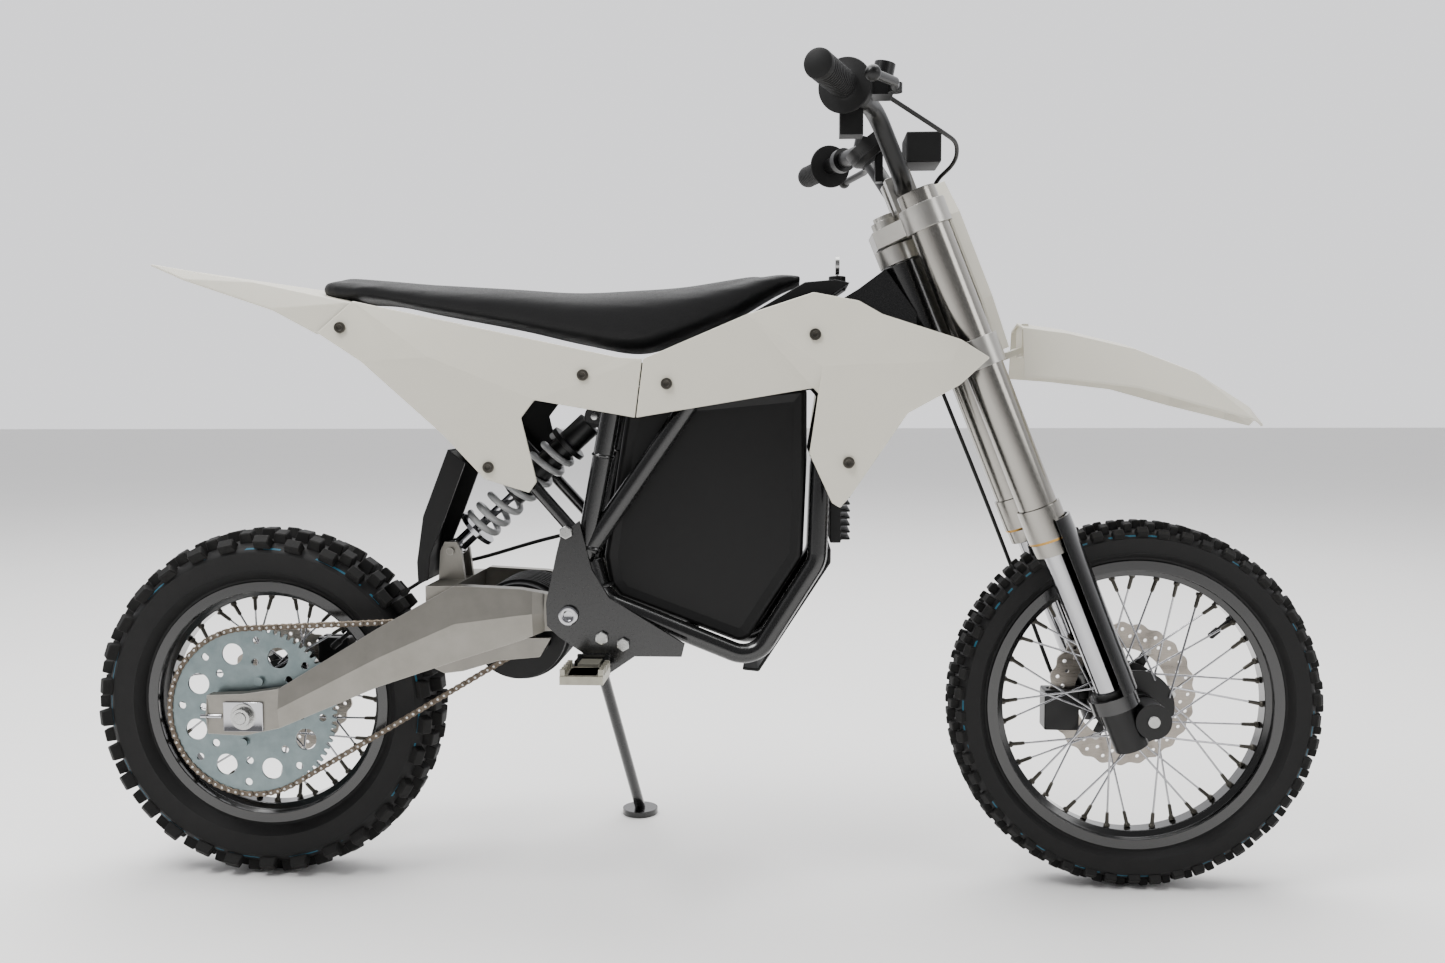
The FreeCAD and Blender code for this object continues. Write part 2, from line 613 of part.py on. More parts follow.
head_length = HEAD_HIGH - HEAD_LOW
head_tube = rod("head_tube_blank", "head_radius", head_length, on_stem(HEAD_LOW), fork_up)
neck_outline = [(fx(398), 801), (fx(364), 776), (fx(304), 740), (fx(304), 716), (fx(400), 716),
                (fx(440), 690), (head.x - 6, 746)]
neck = side_plate("neck_box", neck_outline, 2 * NECK_HALF, NECK_HALF)
neck_inside = side_plate("neck_hollow", inset(neck_outline, 4), 2 * NECK_HALF - 8, NECK_HALF - 4)
neck_skin = cut("neck_skin", neck, neck_inside)
head_bore = rod("head_bore", "stem_radius + slide_gap", head_length + 4, on_stem(HEAD_LOW - 2), fork_up)
node("head_tube", cut("head_tube_welded", fused("head_blank", [head_tube, neck_skin]), head_bore))

battery_outline = frame_outline([(44, 437), (48, 402), (62, 386), (212, 330), (224, 335), (289, 438),
                                 (296, 560), (296, 622), (164, 600)])
battery_shell = cut("battery_shell", side_plate("battery_blank", battery_outline, 2 * battery_half,
                                                battery_half),
                    side_plate("battery_space", inset(battery_outline, size("battery_wall")),
                               2 * (battery_half - size("battery_wall")),
                               battery_half - size("battery_wall")),
                    rod("battery_tie_room", 9.3, 2 * tube_line, (fx(150), -tube_line, 340), ACROSS))
node("battery_case", battery_shell)
pack_half = battery_half - size("battery_wall") - 6
cell_outline = frame_outline([(72, 442), (84, 408), (206, 360), (266, 446), (274, 560), (274, 598),
                              (176, 580)])
node("battery_pack", side_plate("battery_cells", cell_outline, 2 * pack_half, pack_half))

controller_low = (fx(329), -36, 452)
controller = [block("controller_body", controller_low, 14, 72, 92)]
controller += [block(f"controller_fin_{i}", (controller_low[0] + 14, -36, controller_low[2] + 4 + 9 * i),
                     12, 72, 3)
               for i in range(10)]
node("motor_controller", fused("controller_all", controller))

skid_path = [(fx(217), 288), (fx(238), 286), (fx(330), 428), (fx(330), 446), (fx(326), 446), (fx(326), 430),
             (fx(236), 290), (fx(217), 292)]
node("skid_plate", side_plate("skid_sheet", skid_path, 96, 48))

subframe_bits = []
for side in (-1, 1):
    y = side * (tube_line - 14)
    rail_start = (fx(34), y, SPAR_Z + 2)
    rail = rod_between(f"seat_rail_{side}", 9, rail_start, (pivot.x - 290, y * 0.9, 734))
    strut = rod_between(f"strut_{side}", 8, (fx(2), side * (plate_inner - 8.2), 474),
                        (pivot.x - 166, side * (plate_inner - 20), 662))
    strut_top = rod_between(f"strut_top_{side}", 8, (pivot.x - 166, side * (plate_inner - 20), 662),
                            (pivot.x - 226, y * 0.92, 716))
    subframe_bits.append(fused(f"subframe_{side}", [rail, strut, strut_top]))
node("subframe", group("subframe_pair", subframe_bits))

# ---------------------------------------------------------------- seat, panels and mudguards
seat_rear = pivot.x - 328
seat_outline = [(seat_rear, 786), (seat_rear + 8, 792), (pivot.x - 190, 783), (fx(6), 770), (fx(108), 775),
                (fx(281), 798), (fx(293), 790), (fx(202), 738), (fx(94), 695), (fx(64), 697),
                (pivot.x - 76, 727), (pivot.x - 276, 768)]
seat = side_plate("seat_foam", seat_outline, "2 * seat_half_width", size("seat_half_width"))
node("seat_cushion", seat)

console_outline = frame_outline([(212, 735), (296, 783), (334, 786), (352, 782), (304, 750)])
console_room = rod("key_room", 11.3, 80, (fx(338), -14, 740), (0, 0, 1))
console = cut("console_moulding", side_plate("console_blank", console_outline, 116, 58), console_room)
key_barrel = ring("key_barrel", 11, 4.3, 18, (fx(338), -14, 776), (0, 0, 1))
node("console_cover", group("console_set", [console, key_barrel]))
key_stem = block("key_blade", (fx(338) - 1.2, -17.5, 780), 2.4, 7, 18)
key_head = rod("key_head", 12, 5, (fx(338) - 2.5, -14, 808), (1, 0, 0))
node("ignition_key", fused("ignition_key_all", [key_stem, key_head]))


def both_sides(points, faces, name):
    """The right-hand moulding and its mirror image."""
    right = shell_panel(name + "_right", {k: (x, -y, z) for k, (x, z, y) in points.items()}, faces,
                        ACROSS * wall)
    return [right, mirrored(name + "_left", right)]


wall = size("panel_wall")
panel_points = {
    "a": (pivot.x - 276, 762, 74), "b": (pivot.x - 321, 722, 79), "c": (pivot.x - 263, 685, 84),
    "d": (pivot.x - 157, 592, 91), "e": (pivot.x - 105, 537, 92), "f": (pivot.x - 49, 520, 92),
    "g": (pivot.x - 39, 534, 92), "h": (pivot.x - 58, 614, 92), "i": (pivot.x - 41, 636, 92),
    "j": (fx(85), 614, 93), "k": (fx(94), 687, 90), "l": (fx(64), 689, 88), "m": (pivot.x - 76, 719, 81),
    "o": (pivot.x - 226, 706, 84), "p": (pivot.x - 175, 690, 92),
}
panel_faces = ["abo", "bco", "cdp", "cpo", "dep", "efp", "fgp", "ghp", "hip", "ijk", "ikl", "ilm", "imp",
               "pma", "pao"]
node("side_panels", group("side_panel_pair", both_sides(panel_points, panel_faces, "side_panel")))

shroud_points = {
    "a": (fx(95.5), 687, 90), "b": (fx(225), 741, 95), "c": (fx(306), 767, 95), "d": (fx(361), 756, 100),
    "e": (fx(389), 739, 108), "f": (fx(481), 707, 127), "g": (fx(515), 685, 129), "h": (fx(480), 653, 129),
    "i": (fx(419), 619, 122), "j": (fx(351), 517, 106), "k": (fx(339), 503, 104), "l": (fx(329), 509, 103),
    "m": (fx(301), 570, 101), "n": (fx(314), 641, 99), "o": (fx(306), 650, 99), "p": (fx(86.5), 614, 93),
    "q": (fx(316), 676, 111), "r": (fx(470), 681, 129),
}
shroud_faces = ["abp", "bop", "bqo", "bcq", "cdq", "deq", "eqr", "efr", "fgr", "ghr", "hir", "iqr", "ijq",
                "jmq", "jkm", "klm", "mnq", "noq"]
node("shrouds", group("shroud_pair", both_sides(shroud_points, shroud_faces, "shroud")))

fender_points = {
    "a": (pivot.x - 565, 0, 816), "b": (pivot.x - 558, -34, 815), "c": (pivot.x - 558, 34, 815),
    "d": (pivot.x - 408, -60, 788), "e": (pivot.x - 408, 60, 788), "f": (pivot.x - 277, -69.5, 760),
    "g": (pivot.x - 277, 69.5, 760), "h": (pivot.x - 322, -74, 722), "i": (pivot.x - 322, 74, 722),
    "j": (pivot.x - 380, -72, 753), "k": (pivot.x - 380, 72, 753), "l": (pivot.x - 506, -52, 794),
    "n": (pivot.x - 506, 52, 794), "o": (pivot.x - 332, 0, 781), "q": (pivot.x - 277, 0, 762),
}
fender_faces = ["abd", "ado", "aoe", "aec", "dfo", "foq", "ogq", "oeg", "fdj", "fjh", "djl", "dlb", "gke",
                "gik", "enk", "enc"]
node("rear_fender", shell_panel("rear_fender_moulding", fender_points, fender_faces, V(0, 0, -wall)))

guard_web = [(pivot.x - 164, 573), (pivot.x - 198, 486), (pivot.x - 207, 426), (pivot.x - 206, 398),
             (pivot.x - 202, 398), (pivot.x - 203, 426), (pivot.x - 194, 485), (pivot.x - 160, 571)]
guard_edge = guard_web[:4] + [(pivot.x - 193, 402), (pivot.x - 190, 434), (pivot.x - 170, 482),
                              (pivot.x - 142, 555)]
guard = [side_plate("guard_web", guard_web, 96, 48), side_plate("guard_edge_right", guard_edge, 4, -44),
         side_plate("guard_edge_left", guard_edge, 4, 48)]
node("inner_mudguard", fused("inner_mudguard_all", guard))

# ---------------------------------------------------------------- fork, clamps and steering
CLAMP_LOW, CLAMP_TOP = 500, 680
spread = size("fork_spread")


def steering_plate(name, outline, thickness, height, holes=()):
    """A flat piece square to the steering axis: its outline is (ahead of the axis, side)."""
    return plate(name, outline, thickness, Placement(on_stem(height), steering_turn), holes)


def clamp(name, height, thickness, centre_hole):
    """A triple clamp: a centre boss and two split collars round the fork tubes."""
    offset, bore = size("clamp_offset"), size("fork_outer_radius")
    outer = bore + 5
    web = steering_plate(name + "_web", [(-24, -30), (-24, 30), (offset - 12, spread - 10),
                                         (offset + 14, spread - 10),
                                         (offset - 2, 0), (offset + 14, 10 - spread),
                                         (offset - 12, 10 - spread)],
                         thickness, height)
    collars = [rod(f"{name}_collar_{s}", outer, thickness + 8, on_stem(height - 4, offset, s * spread),
                   fork_up)
               for s in (-1, 1)]
    bores = [rod(f"{name}_fork_bore_{s}", "fork_outer_radius", thickness + 20,
                 on_stem(height - 10, offset, s * spread), fork_up) for s in (-1, 1)]
    centre = [rod(name + "_stem_bore", centre_hole, thickness + 20, on_stem(height - 10), fork_up)]
    return cut(name + "_machined", fused(name + "_blank", [web] + collars), *(bores + centre))


lower_clamp = clamp("low_clamp", CLAMP_LOW - 14, 28, "stem_radius")
top_clamp = clamp("high_clamp", CLAMP_TOP - 12, 22, "stem_radius")
stem = rod("stem_rod", "stem_radius", CLAMP_TOP - CLAMP_LOW + 42, on_stem(CLAMP_LOW - 14), fork_up)
stem_nut = ring("stem_nut", 18, "stem_radius", 12, on_stem(CLAMP_TOP + 10), fork_up)
dust_cap = ring("stem_dust_cap", 27, "stem_radius", 22, on_stem(HEAD_HIGH + 2), fork_up)
node("lower_clamp_and_stem", group("steering_stem_set", [lower_clamp, stem, stem_nut, dust_cap]))

OUTER_LOW, OUTER_HIGH = 262, 712
outers = []
for side in (-1, 1):
    leg = side * spread
    sleeve = ring(f"fork_sleeve_{side}", "fork_outer_radius", "fork_inner_radius + slide_gap",
                  OUTER_HIGH - OUTER_LOW - 8, on_fork(OUTER_LOW, leg), fork_up)
    flare = ring(f"fork_flare_{side}", "fork_outer_radius + 3", "fork_outer_radius", 42,
                 on_fork(OUTER_LOW - 6, leg), fork_up)
    seal = ring(f"fork_seal_{side}", "fork_outer_radius + 1", "fork_inner_radius + slide_gap", 20,
                on_fork(OUTER_LOW - 26, leg), fork_up)
    cap = rod(f"fork_cap_{side}", "fork_outer_radius", 8, on_fork(OUTER_HIGH - 8, leg), fork_up)
    outers += [sleeve, flare, seal, cap]
node("fork_outer_tubes", group("fork_outer_set", outers))

INNER_HIGH, LUG_HIGH, LUG_LOW = 560, 52, -26
inners, lug_bits, guards = [], [], []
for side in (-1, 1):
    leg = side * spread
    inners.append(rod(f"fork_inner_{side}", "fork_inner_radius", INNER_HIGH - LUG_HIGH,
                      on_fork(LUG_HIGH, leg), fork_up))
    lug_body = rod(f"lug_sleeve_{side}", 21, LUG_HIGH - LUG_LOW, on_fork(LUG_LOW, leg), fork_up)
    lug_eye = rod(f"lug_eye_{side}", 22, 38, front_axle + V(0, leg - 19, 0), ACROSS)
    bore = rod(f"lug_bore_{side}", "axle_radius", 60, front_axle + V(0, leg - 30, 0), ACROSS)
    lug_bits.append(cut(f"axle_lug_{side}", fused(f"lug_blank_{side}", [lug_body, lug_eye]), bore))
    guard_sleeve = ring(f"guard_round_{side}", "fork_outer_radius + 9", "fork_outer_radius + 5.6", 232,
                        on_fork(LUG_HIGH - 6, leg), fork_up)
    room = block(f"guard_room_{side}", V(-80, -40, -4), 88, 80, 262)
    room.Placement = Placement(on_fork(LUG_HIGH - 6, leg), steering_turn).multiply(room.Placement)
    foot = ring(f"guard_foot_{side}", 30, 21, 18, on_fork(LUG_HIGH - 24, leg), fork_up)
    guards.append(fused(f"fork_guard_{side}", [cut(f"guard_wall_{side}", guard_sleeve, room), foot]))
node("fork_inner_tubes", group("fork_inner_set", inners))
node("fork_axle_clamps", group("axle_lug_set", lug_bits))
node("fork_guards", group("fork_guard_set", guards))
front_reach_y = spread + 21
front_rod = rod("front_axle_rod", "axle_radius", 2 * front_reach_y, front_axle - ACROSS * front_reach_y,
                ACROSS)
front_spacers = [ring(f"front_spacer_{s}", 12, "axle_radius", spread - 19 - FRONT_HUB_HALF - 0.6,
                      front_axle + V(0, s * (FRONT_HUB_HALF + 0.4), 0), V(0, s, 0)) for s in (-1, 1)]
node("front_axle", group("front_axle_set", [front_rod] + front_spacers))

disc_middle = FRONT_DISC_Y + size("disc_wall") / 2
caliper_at = front_axle + V(-82, disc_middle, -20)
body, gap = caliper("front_caliper", caliper_at, disc_middle, 3.5, 46, 54, 34)
bridge = block("front_caliper_bridge", caliper_at + V(-23, -17, -27), 6, 34, 54)
stay = block("front_caliper_stay", caliper_at + V(-8, 17, -8), 46, 12, 26)
node("front_caliper", fused("front_caliper_all", [cut("front_caliper_halves", body, gap), bridge, stay]))

front_fender_points = {}
fender_line = [(418, 734, 666, 55), (473, 726, 662, 62), (555, 706, 652, 66), (632, 676, 630, 64),
               (700, 634, 612, 52), (722, 612, 604, 26)]
fender_shift = front_axle.x - 572
fender_rows = []
for i, (x, ridge, edge, half) in enumerate(fender_line):
    x += fender_shift
    spots = [(-half, edge), (-0.72 * half, ridge - 8), (0.0, ridge), (0.72 * half, ridge - 8), (half, edge)]
    row = []
    for k, (y, z) in enumerate(spots):
        key = f"{i}{'abcde'[k]}"
        front_fender_points[key] = (x, y, z)
        row.append(key)
    fender_rows.append(row)
front_fender_faces = []
for near, far in zip(fender_rows, fender_rows[1:]):
    for k in range(4):
        front_fender_faces += [(near[k], near[k + 1], far[k]), (near[k + 1], far[k + 1], far[k])]
fender_skin = shell_panel("front_fender_moulding", front_fender_points, front_fender_faces, V(0, 0, -wall))
fender_stay = steering_plate("fender_stay", [(12, -24), (12, 24), (100, 28), (100, -28)], 8, CLAMP_LOW - 22)
fender_post = block("fender_post", (front_axle.x - 151, -20, 690), 8, 40, 42)
node("front_fender", fused("front_fender_all", [fender_skin, fender_stay, fender_post]))

plate_face = [(716, 34), (672, 56), (560, 56), (492, 36)]
number_points, number_rows = {}, []
for i, (rise, half) in enumerate(plate_face):
    front_point, back_point = on_fork(rise, 0, 46), on_fork(rise, 0, 32)
    row = []
    for k, (y, spot) in enumerate(((-half - 6, back_point), (-half, front_point), (half, front_point),
                                   (half + 6, back_point))):
        key = f"{i}{'abcd'[k]}"
        number_points[key] = (spot.x, y, spot.z)
        row.append(key)
    number_rows.append(row)
number_faces = []
for near, far in zip(number_rows, number_rows[1:]):
    for k in range(3):
        number_faces += [(near[k], near[k + 1], far[k]), (near[k + 1], far[k + 1], far[k])]
node("number_plate", shell_panel("number_plate_moulding", number_points, number_faces, fork_ahead * -wall))

# ---------------------------------------------------------------- handlebar and controls
bar_centre = on_stem(CLAMP_TOP + 46, 32)
bar_end = bar_centre + V(-114, 313, 81)
half_bar = [bar_centre, bar_centre + V(0, 60, 0), bar_centre + V(-41, 115, 79), bar_end]
bar_line = [(p.x, -p.y, p.z) for p in reversed(half_bar[1:])] + [(p.x, p.y, p.z) for p in half_bar[1:]]
node("handlebar", bent_tube("handlebar_tube", bar_line, "bar_radius", 55))

RISER_Y = 22
riser_bits = []
for side in (-1, 1):
    foot_of = on_stem(CLAMP_TOP + 10, 32, side * RISER_Y)
    riser = plate(f"riser_{side}", [(-17, -11), (17, -11), (17, 11), (-17, 11)], 36 + size("bar_radius") + 9,
                  Placement(foot_of, steering_turn))
    hole = rod(f"riser_hole_{side}", "bar_radius", 40, bar_centre + V(0, side * RISER_Y - 20, 0), ACROSS)
    riser_bits.append(cut(f"bar_riser_{side}", riser, hole))
node("top_clamp", group("top_clamp_set", [top_clamp] + riser_bits))

grip_way = (bar_end - (bar_centre + V(-41, 115, 79))).normalize()


def on_bar(side, from_end, out=0.0, up=0.0):
    """A point on one side's straight bar end: from_end in from its tip, out ahead of it, up above it."""
    spot = bar_end - grip_way * from_end
    ahead = grip_way.cross(V(0, 0, 1)).normalize()
    spot = spot + ahead * out + V(0, 0, up)
    return V(spot.x, side * spot.y, spot.z)


def grip_parts(side, bore):
    """A rubber grip with an inner flange, over the bar's end."""
    way = V(-grip_way.x, -side * grip_way.y, -grip_way.z)
    start = on_bar(side, -3)
    bits = [ring(f"grip_sleeve_{side}", "bar_radius + grip_wall", bore, 94, start, way),
            ring(f"grip_flange_{side}", 31, bore, 4, start + way * 94, way),
            rod(f"grip_cap_{side}", "bar_radius + grip_wall", 3, start - way * 3, way)]
    return fused(f"grip_{side}", bits)


node("left_grip", grip_parts(1, "bar_radius"))
node("throttle_grip", grip_parts(-1, "bar_radius + slide_gap"))
inward_right = V(-grip_way.x, grip_way.y, -grip_way.z)
housing = ring("throttle_ring", 24, "bar_radius", 22, on_bar(-1, 96.5), inward_right)
switch_block = block("throttle_box", on_bar(-1, 118, 0, -50) + V(-14, -11, 0), 26, 24, 28)
housing_room = rod("throttle_room", "bar_radius", 40, on_bar(-1, 90), inward_right)
node("throttle_housing", cut("throttle_case", fused("throttle_blank", [housing, switch_block]), housing_room))


def master(side):
    """A brake master cylinder clamped on the bar, with a fork for its lever."""
    tag = f"{side}"
    centre = on_bar(side, 138, 26, 4)
    body = block("master_body_" + tag, centre + V(-12, -16, -9), 26, 32, 20)
    tank = rod("master_tank_" + tag, 12, 22, centre + V(2, side * -2, 8), (0.2, 0, 1))
    way = V(-grip_way.x, -side * grip_way.y, -grip_way.z)
    strap = ring("master_strap_" + tag, 17, "bar_radius", 14, on_bar(side, 131), way)
    arm = block("master_arm_" + tag, on_bar(side, 138, 12, -3) + V(-4, -8, 0), 26, 16, 12)
    room = rod("master_room_" + tag, "bar_radius", 40, on_bar(side, 118), way)
    return cut("master_" + tag, fused("master_blank_" + tag, [body, tank, strap, arm]), room)


node("brake_masters", group("brake_master_pair", [master(-1), master(1)]))


def lever(side):
    """A hand lever: a hub on its pivot, a curved blade and a ball end."""
    hub_at = on_bar(side, 116, 50, -2)
    mid = on_bar(side, 84, 58, -4)
    tip = on_bar(side, 22, 52, -10)
    bits = [rod(f"lever_hub_{side}", 8, 10, hub_at + V(0, 0, -5), (0, 0, 1)),
            rod_between(f"lever_blade_{side}", 5, hub_at, mid),
            rod_between(f"lever_reach_{side}", 5, mid, tip)]
    ball = bind(doc.addObject("Part::Sphere", f"lever_ball_{side}"), Radius=8.5)
    ball.Placement.Base = tip
    knee = bind(doc.addObject("Part::Sphere", f"lever_knee_{side}"), Radius=5)
    knee.Placement.Base = mid
    return fused(f"lever_{side}", bits + [ball, knee])


node("front_brake_lever", lever(-1))
node("rear_brake_lever", lever(1))
display_at = bar_centre + V(-34, 40, 62)
display = rod("display_case", 31, 16, display_at, (-0.62, 0, 0.78))
display_foot = block("display_foot", display_at + V(4, -8, -40), 10, 16, 46)
node("display", fused("display_all", [display, display_foot]))
node("wiring_box", block("wiring_box_case", bar_centre + V(4, -34, 34), 44, 62, 38))

# ---------------------------------------------------------------- rear shock
shock_way = (shock_low - shock_top).normalize()
shock_length = (shock_low - shock_top).Length
top_eye = ring("shock_top_eye", 15, "shock_bolt_radius + slide_gap", 2 * LUG_HALF - 2,
               shock_top - ACROSS * (LUG_HALF - 1), ACROSS)
shock_tube = ring("shock_tube", 17, 6.4, 140, shock_top + shock_way * 14, shock_way)
seat_high = ring("shock_seat_high", "shock_spring_radius + 1", 17, 7, shock_top + shock_way * 50, shock_way)
eye_room = rod("shock_eye_room", "shock_bolt_radius + slide_gap", 40, shock_top - ACROSS * 20, ACROSS)
node("shock_body", cut("shock_body_bored", fused("shock_body_all", [top_eye, shock_tube, seat_high]),
                       eye_room))
LOW_EYE_GAP = 1.2
low_eye = rod("shock_low_eye", 13, 2 * LUG_HALF - 2, shock_low - ACROSS * (LUG_HALF - 1), ACROSS)
low_neck = rod("shock_low_neck", 10, 34, shock_low - shock_way * 38, shock_way)
seat_low = rod("shock_seat_low", "shock_spring_radius + 1", 6, shock_low - shock_way * 44, shock_way)
shaft = rod("shock_shaft_rod", 6, 126, shock_low - shock_way * 160, shock_way)
low_room = rod("shock_low_room", size("shock_bolt_radius") + LOW_EYE_GAP, 40, shock_low - ACROSS * 20, ACROSS)
node("shock_shaft", cut("shock_shaft_bored", fused("shock_shaft_all", [low_eye, low_neck, seat_low, shaft]),
                        low_room))
spring_start = shock_top + shock_way * 57.3
node("shock_spring", ring("shock_spring_coil", "shock_spring_radius", "shock_spring_radius - shock_wire",
                          shock_length - 44 - 57.6, spring_start, shock_way))

# ---------------------------------------------------------------- pegs and stand
PEG_Z, PEG_TREAD_FROM, PEG_TAB = 305, 16, 27
peg_hinge = V(fx(31), -bolt_reach - 20, PEG_Z)
peg_tip = peg_hinge.y - size("peg_length")


def peg_block(name, ahead, low_y, rise, length, width, height):
    """A block of the right footpeg or its mount, placed from the peg's pin."""
    return block(name, (peg_hinge.x + ahead, low_y, PEG_Z + rise), length, width, height)


mount = [peg_block(f"peg_tab_{k}", ahead, -bolt_reach - PEG_TAB, -8, 6, PEG_TAB, 16) for k,
         ahead in enumerate((-20, 14))]
mount.append(peg_block("peg_root", -20, -bolt_reach - 6, -12, 40, 6, 24))
mount.append(rod("peg_pin", 4, 48, peg_hinge - V(24, 0, 0), (1, 0, 0)))
tread_width = size("peg_length") - PEG_TREAD_FROM
peg_tread = cut("peg_frame", peg_block("peg_tread", -26, peg_tip, -6, 52, tread_width, 10),
                peg_block("peg_window", -17, peg_tip + 8, -8, 34, tread_width - 16, 14))
teeth = [peg_block(f"peg_tooth_{i}_{ahead}", ahead, peg_tip + 2 + 12.5 * i, 4, 6, 5, 8)
         for i in range(5) for ahead in (-26, 20)]
ear = peg_block("peg_ear", -13, peg_hinge.y - PEG_TREAD_FROM - 6, -8, 26, PEG_TREAD_FROM + 15, 16)
pin_room = rod("peg_pin_room", 4 + slide_gap, 60, peg_hinge - V(30, 0, 0), (1, 0, 0))
peg = cut("peg_right", fused("peg_blank", [peg_tread, ear] + teeth), pin_room)
node("footpeg_right", peg)
node("footpeg_left", mirrored("peg_left", peg))
mounts = mount + [mirrored(piece.Name + "_left", piece) for piece in mount]

stand_hinge = V(fx(6), 70, 296)
stand_foot = V(fx(48), 236, 0)
leg_way = (stand_foot + V(0, 0, 8) - stand_hinge).normalize()
folded_way = V(-0.97, 0.2, 0.14).normalize()
hinge_way = leg_way.cross(folded_way).normalize()
stand_pin = rod("stand_pin", 5, 34, stand_hinge - hinge_way * 17, hinge_way)
stand_tabs = [rod(f"stand_tab_{k}", 14, 5, stand_hinge + hinge_way * reach, hinge_way)
              for k, reach in enumerate((-15.6, 10.6))]
stand_stems = [rod_between(f"stand_stem_{k}", 6, stand_hinge + hinge_way * reach + V(17, 0, 6),
                           (fx(ahead), plate_inner + 3, z))
               for k, (reach, ahead, z) in enumerate(((17, 56, 327), (-17, 70, 318)))]
right_side = fused("pivot_plate_right_set", [side_plate_right] + mount)
left_side = fused("pivot_plate_left_set",
                  plate_pair[1:] + mounts[len(mount):] + stand_tabs + [stand_pin] + stand_stems)
node("pivot_plates", group("pivot_plate_set", [right_side, left_side]))
leg_eye = rod("stand_eye", 11, 20, stand_hinge - hinge_way * 10, hinge_way)
leg = rod_between("stand_leg", "stand_radius", stand_hinge, stand_foot + V(0, 0, 8))
foot = rod("stand_foot_pad", "stand_foot_radius", 9, stand_foot, (0, 0, 1))
stand_room = rod("stand_pin_room", 5 + slide_gap, 60, stand_hinge - hinge_way * 30, hinge_way)
node("side_stand", cut("side_stand_bored", fused("side_stand_all", [leg_eye, leg, foot]), stand_room))

# ---------------------------------------------------------------- hoses and fasteners
front_hose = [on_bar(-1, 160, 26, 4), (300, -118, 956), (330, -70, 950), (334, -30, 934), (308, 8, 913),
              on_fork(680, 28, 20), on_fork(600, 34, 22), on_fork(548, 44, 4), on_fork(524, 62, -36),
              on_fork(480, 82, -38),
              on_fork(300, 84, -36), on_fork(140, 78, -38), on_fork(60, 58, -42), front_axle + V(-84, 50, 10)]
node("front_brake_hose", bent_tube("front_hose_tube", front_hose, 2.6))
rear_hose = [(fx(39), 59, 470), (fx(10), 44, 462), (ax(60), 46, 446), (ax(150), 62, 418), (ax(205), 70, 406),
             (ax(262), 75, 368), (ax(320), 72, 340), rear_axle + V(72, 56, 79)]
node("rear_brake_hose", bent_tube("rear_hose_tube", rear_hose, 2.6))

screws = []
SCREW_SPOTS = {"panel": [(pivot.x - 290, 728, 79), (fx(20), 667, 89.5), (pivot.x - 100, 552, 91)],
               "shroud": [(fx(308), 715, 104.3), (fx(125), 656, 93), (fx(349), 559, 108.5)]}
for kind, spots in SCREW_SPOTS.items():
    for i, (x, z, y) in enumerate(spots):
        screws.append(rod(f"{kind}_screw_{i}", 5, 4, (x, -y - 4, z), ACROSS))
frame_bolts = [(fx(-2), 471), (fx(42), 338), (fx(69), 330)]
for i, (x, z) in enumerate(frame_bolts):
    screws.append(rod(f"frame_bolt_{i}", 8, 5, (x, -bolt_reach - 5, z), ACROSS))
screws += [mirrored(screw.Name + "_left", screw) for screw in screws]
node("bolts_and_screws", group("fastener_set", screws + [pivot_bolt, shock_top_bolt]))

# ---------------------------------------------------------------- check and write
doc.recompute()
faults = [thing.Label for thing in doc.Objects if {"Invalid", "Error"} & set(thing.State)]
for thing in NODES:
    shape = thing.Shape
    if shape.isNull() or not shape.isValid() or not shape.Solids:
        faults.append(f"{thing.Label} has no valid solid")
if faults:
    raise SystemExit(f"not written: {faults}")
os.makedirs("parts", exist_ok=True)
for thing in NODES:
    thing.Shape.exportStep(f"parts/{thing.Label}.step")
print(len(NODES), "sub-parts written")
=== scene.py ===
"""The looks of a youth electric dirt bike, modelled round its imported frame.

Metres, in the frame's own axes: +X forward, +Y the rider's left, +Z up.
"""

import json
import logging
import math
from contextlib import contextmanager
from dataclasses import dataclass, field
from enum import Enum
from typing import Any, Callable, ClassVar, Iterable, Iterator, Sequence

import bmesh
import bpy
from bpy.types import Material, Node, NodeSocket, NodeTree, Object
from mathutils import Matrix, Vector


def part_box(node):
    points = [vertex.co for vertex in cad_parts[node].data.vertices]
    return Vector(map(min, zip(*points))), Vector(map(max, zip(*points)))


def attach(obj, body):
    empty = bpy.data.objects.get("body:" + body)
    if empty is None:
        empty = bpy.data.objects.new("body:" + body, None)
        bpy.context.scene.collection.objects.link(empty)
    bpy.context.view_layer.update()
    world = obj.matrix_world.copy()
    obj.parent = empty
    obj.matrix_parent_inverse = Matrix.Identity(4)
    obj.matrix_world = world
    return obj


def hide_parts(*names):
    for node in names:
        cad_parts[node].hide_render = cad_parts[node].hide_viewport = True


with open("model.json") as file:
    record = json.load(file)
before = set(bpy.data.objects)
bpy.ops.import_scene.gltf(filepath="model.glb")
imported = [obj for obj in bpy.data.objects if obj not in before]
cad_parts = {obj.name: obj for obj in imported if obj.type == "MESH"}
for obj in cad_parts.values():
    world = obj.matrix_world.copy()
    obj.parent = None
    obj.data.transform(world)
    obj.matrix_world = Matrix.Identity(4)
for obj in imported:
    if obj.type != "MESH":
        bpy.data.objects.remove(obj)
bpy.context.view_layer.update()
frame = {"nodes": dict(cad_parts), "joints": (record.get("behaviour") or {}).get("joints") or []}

LOG = logging.getLogger("dirt_bike")
MM = 0.001
TURN = 2 * math.pi
JOINTS = {joint["name"]: joint for joint in frame["joints"]}


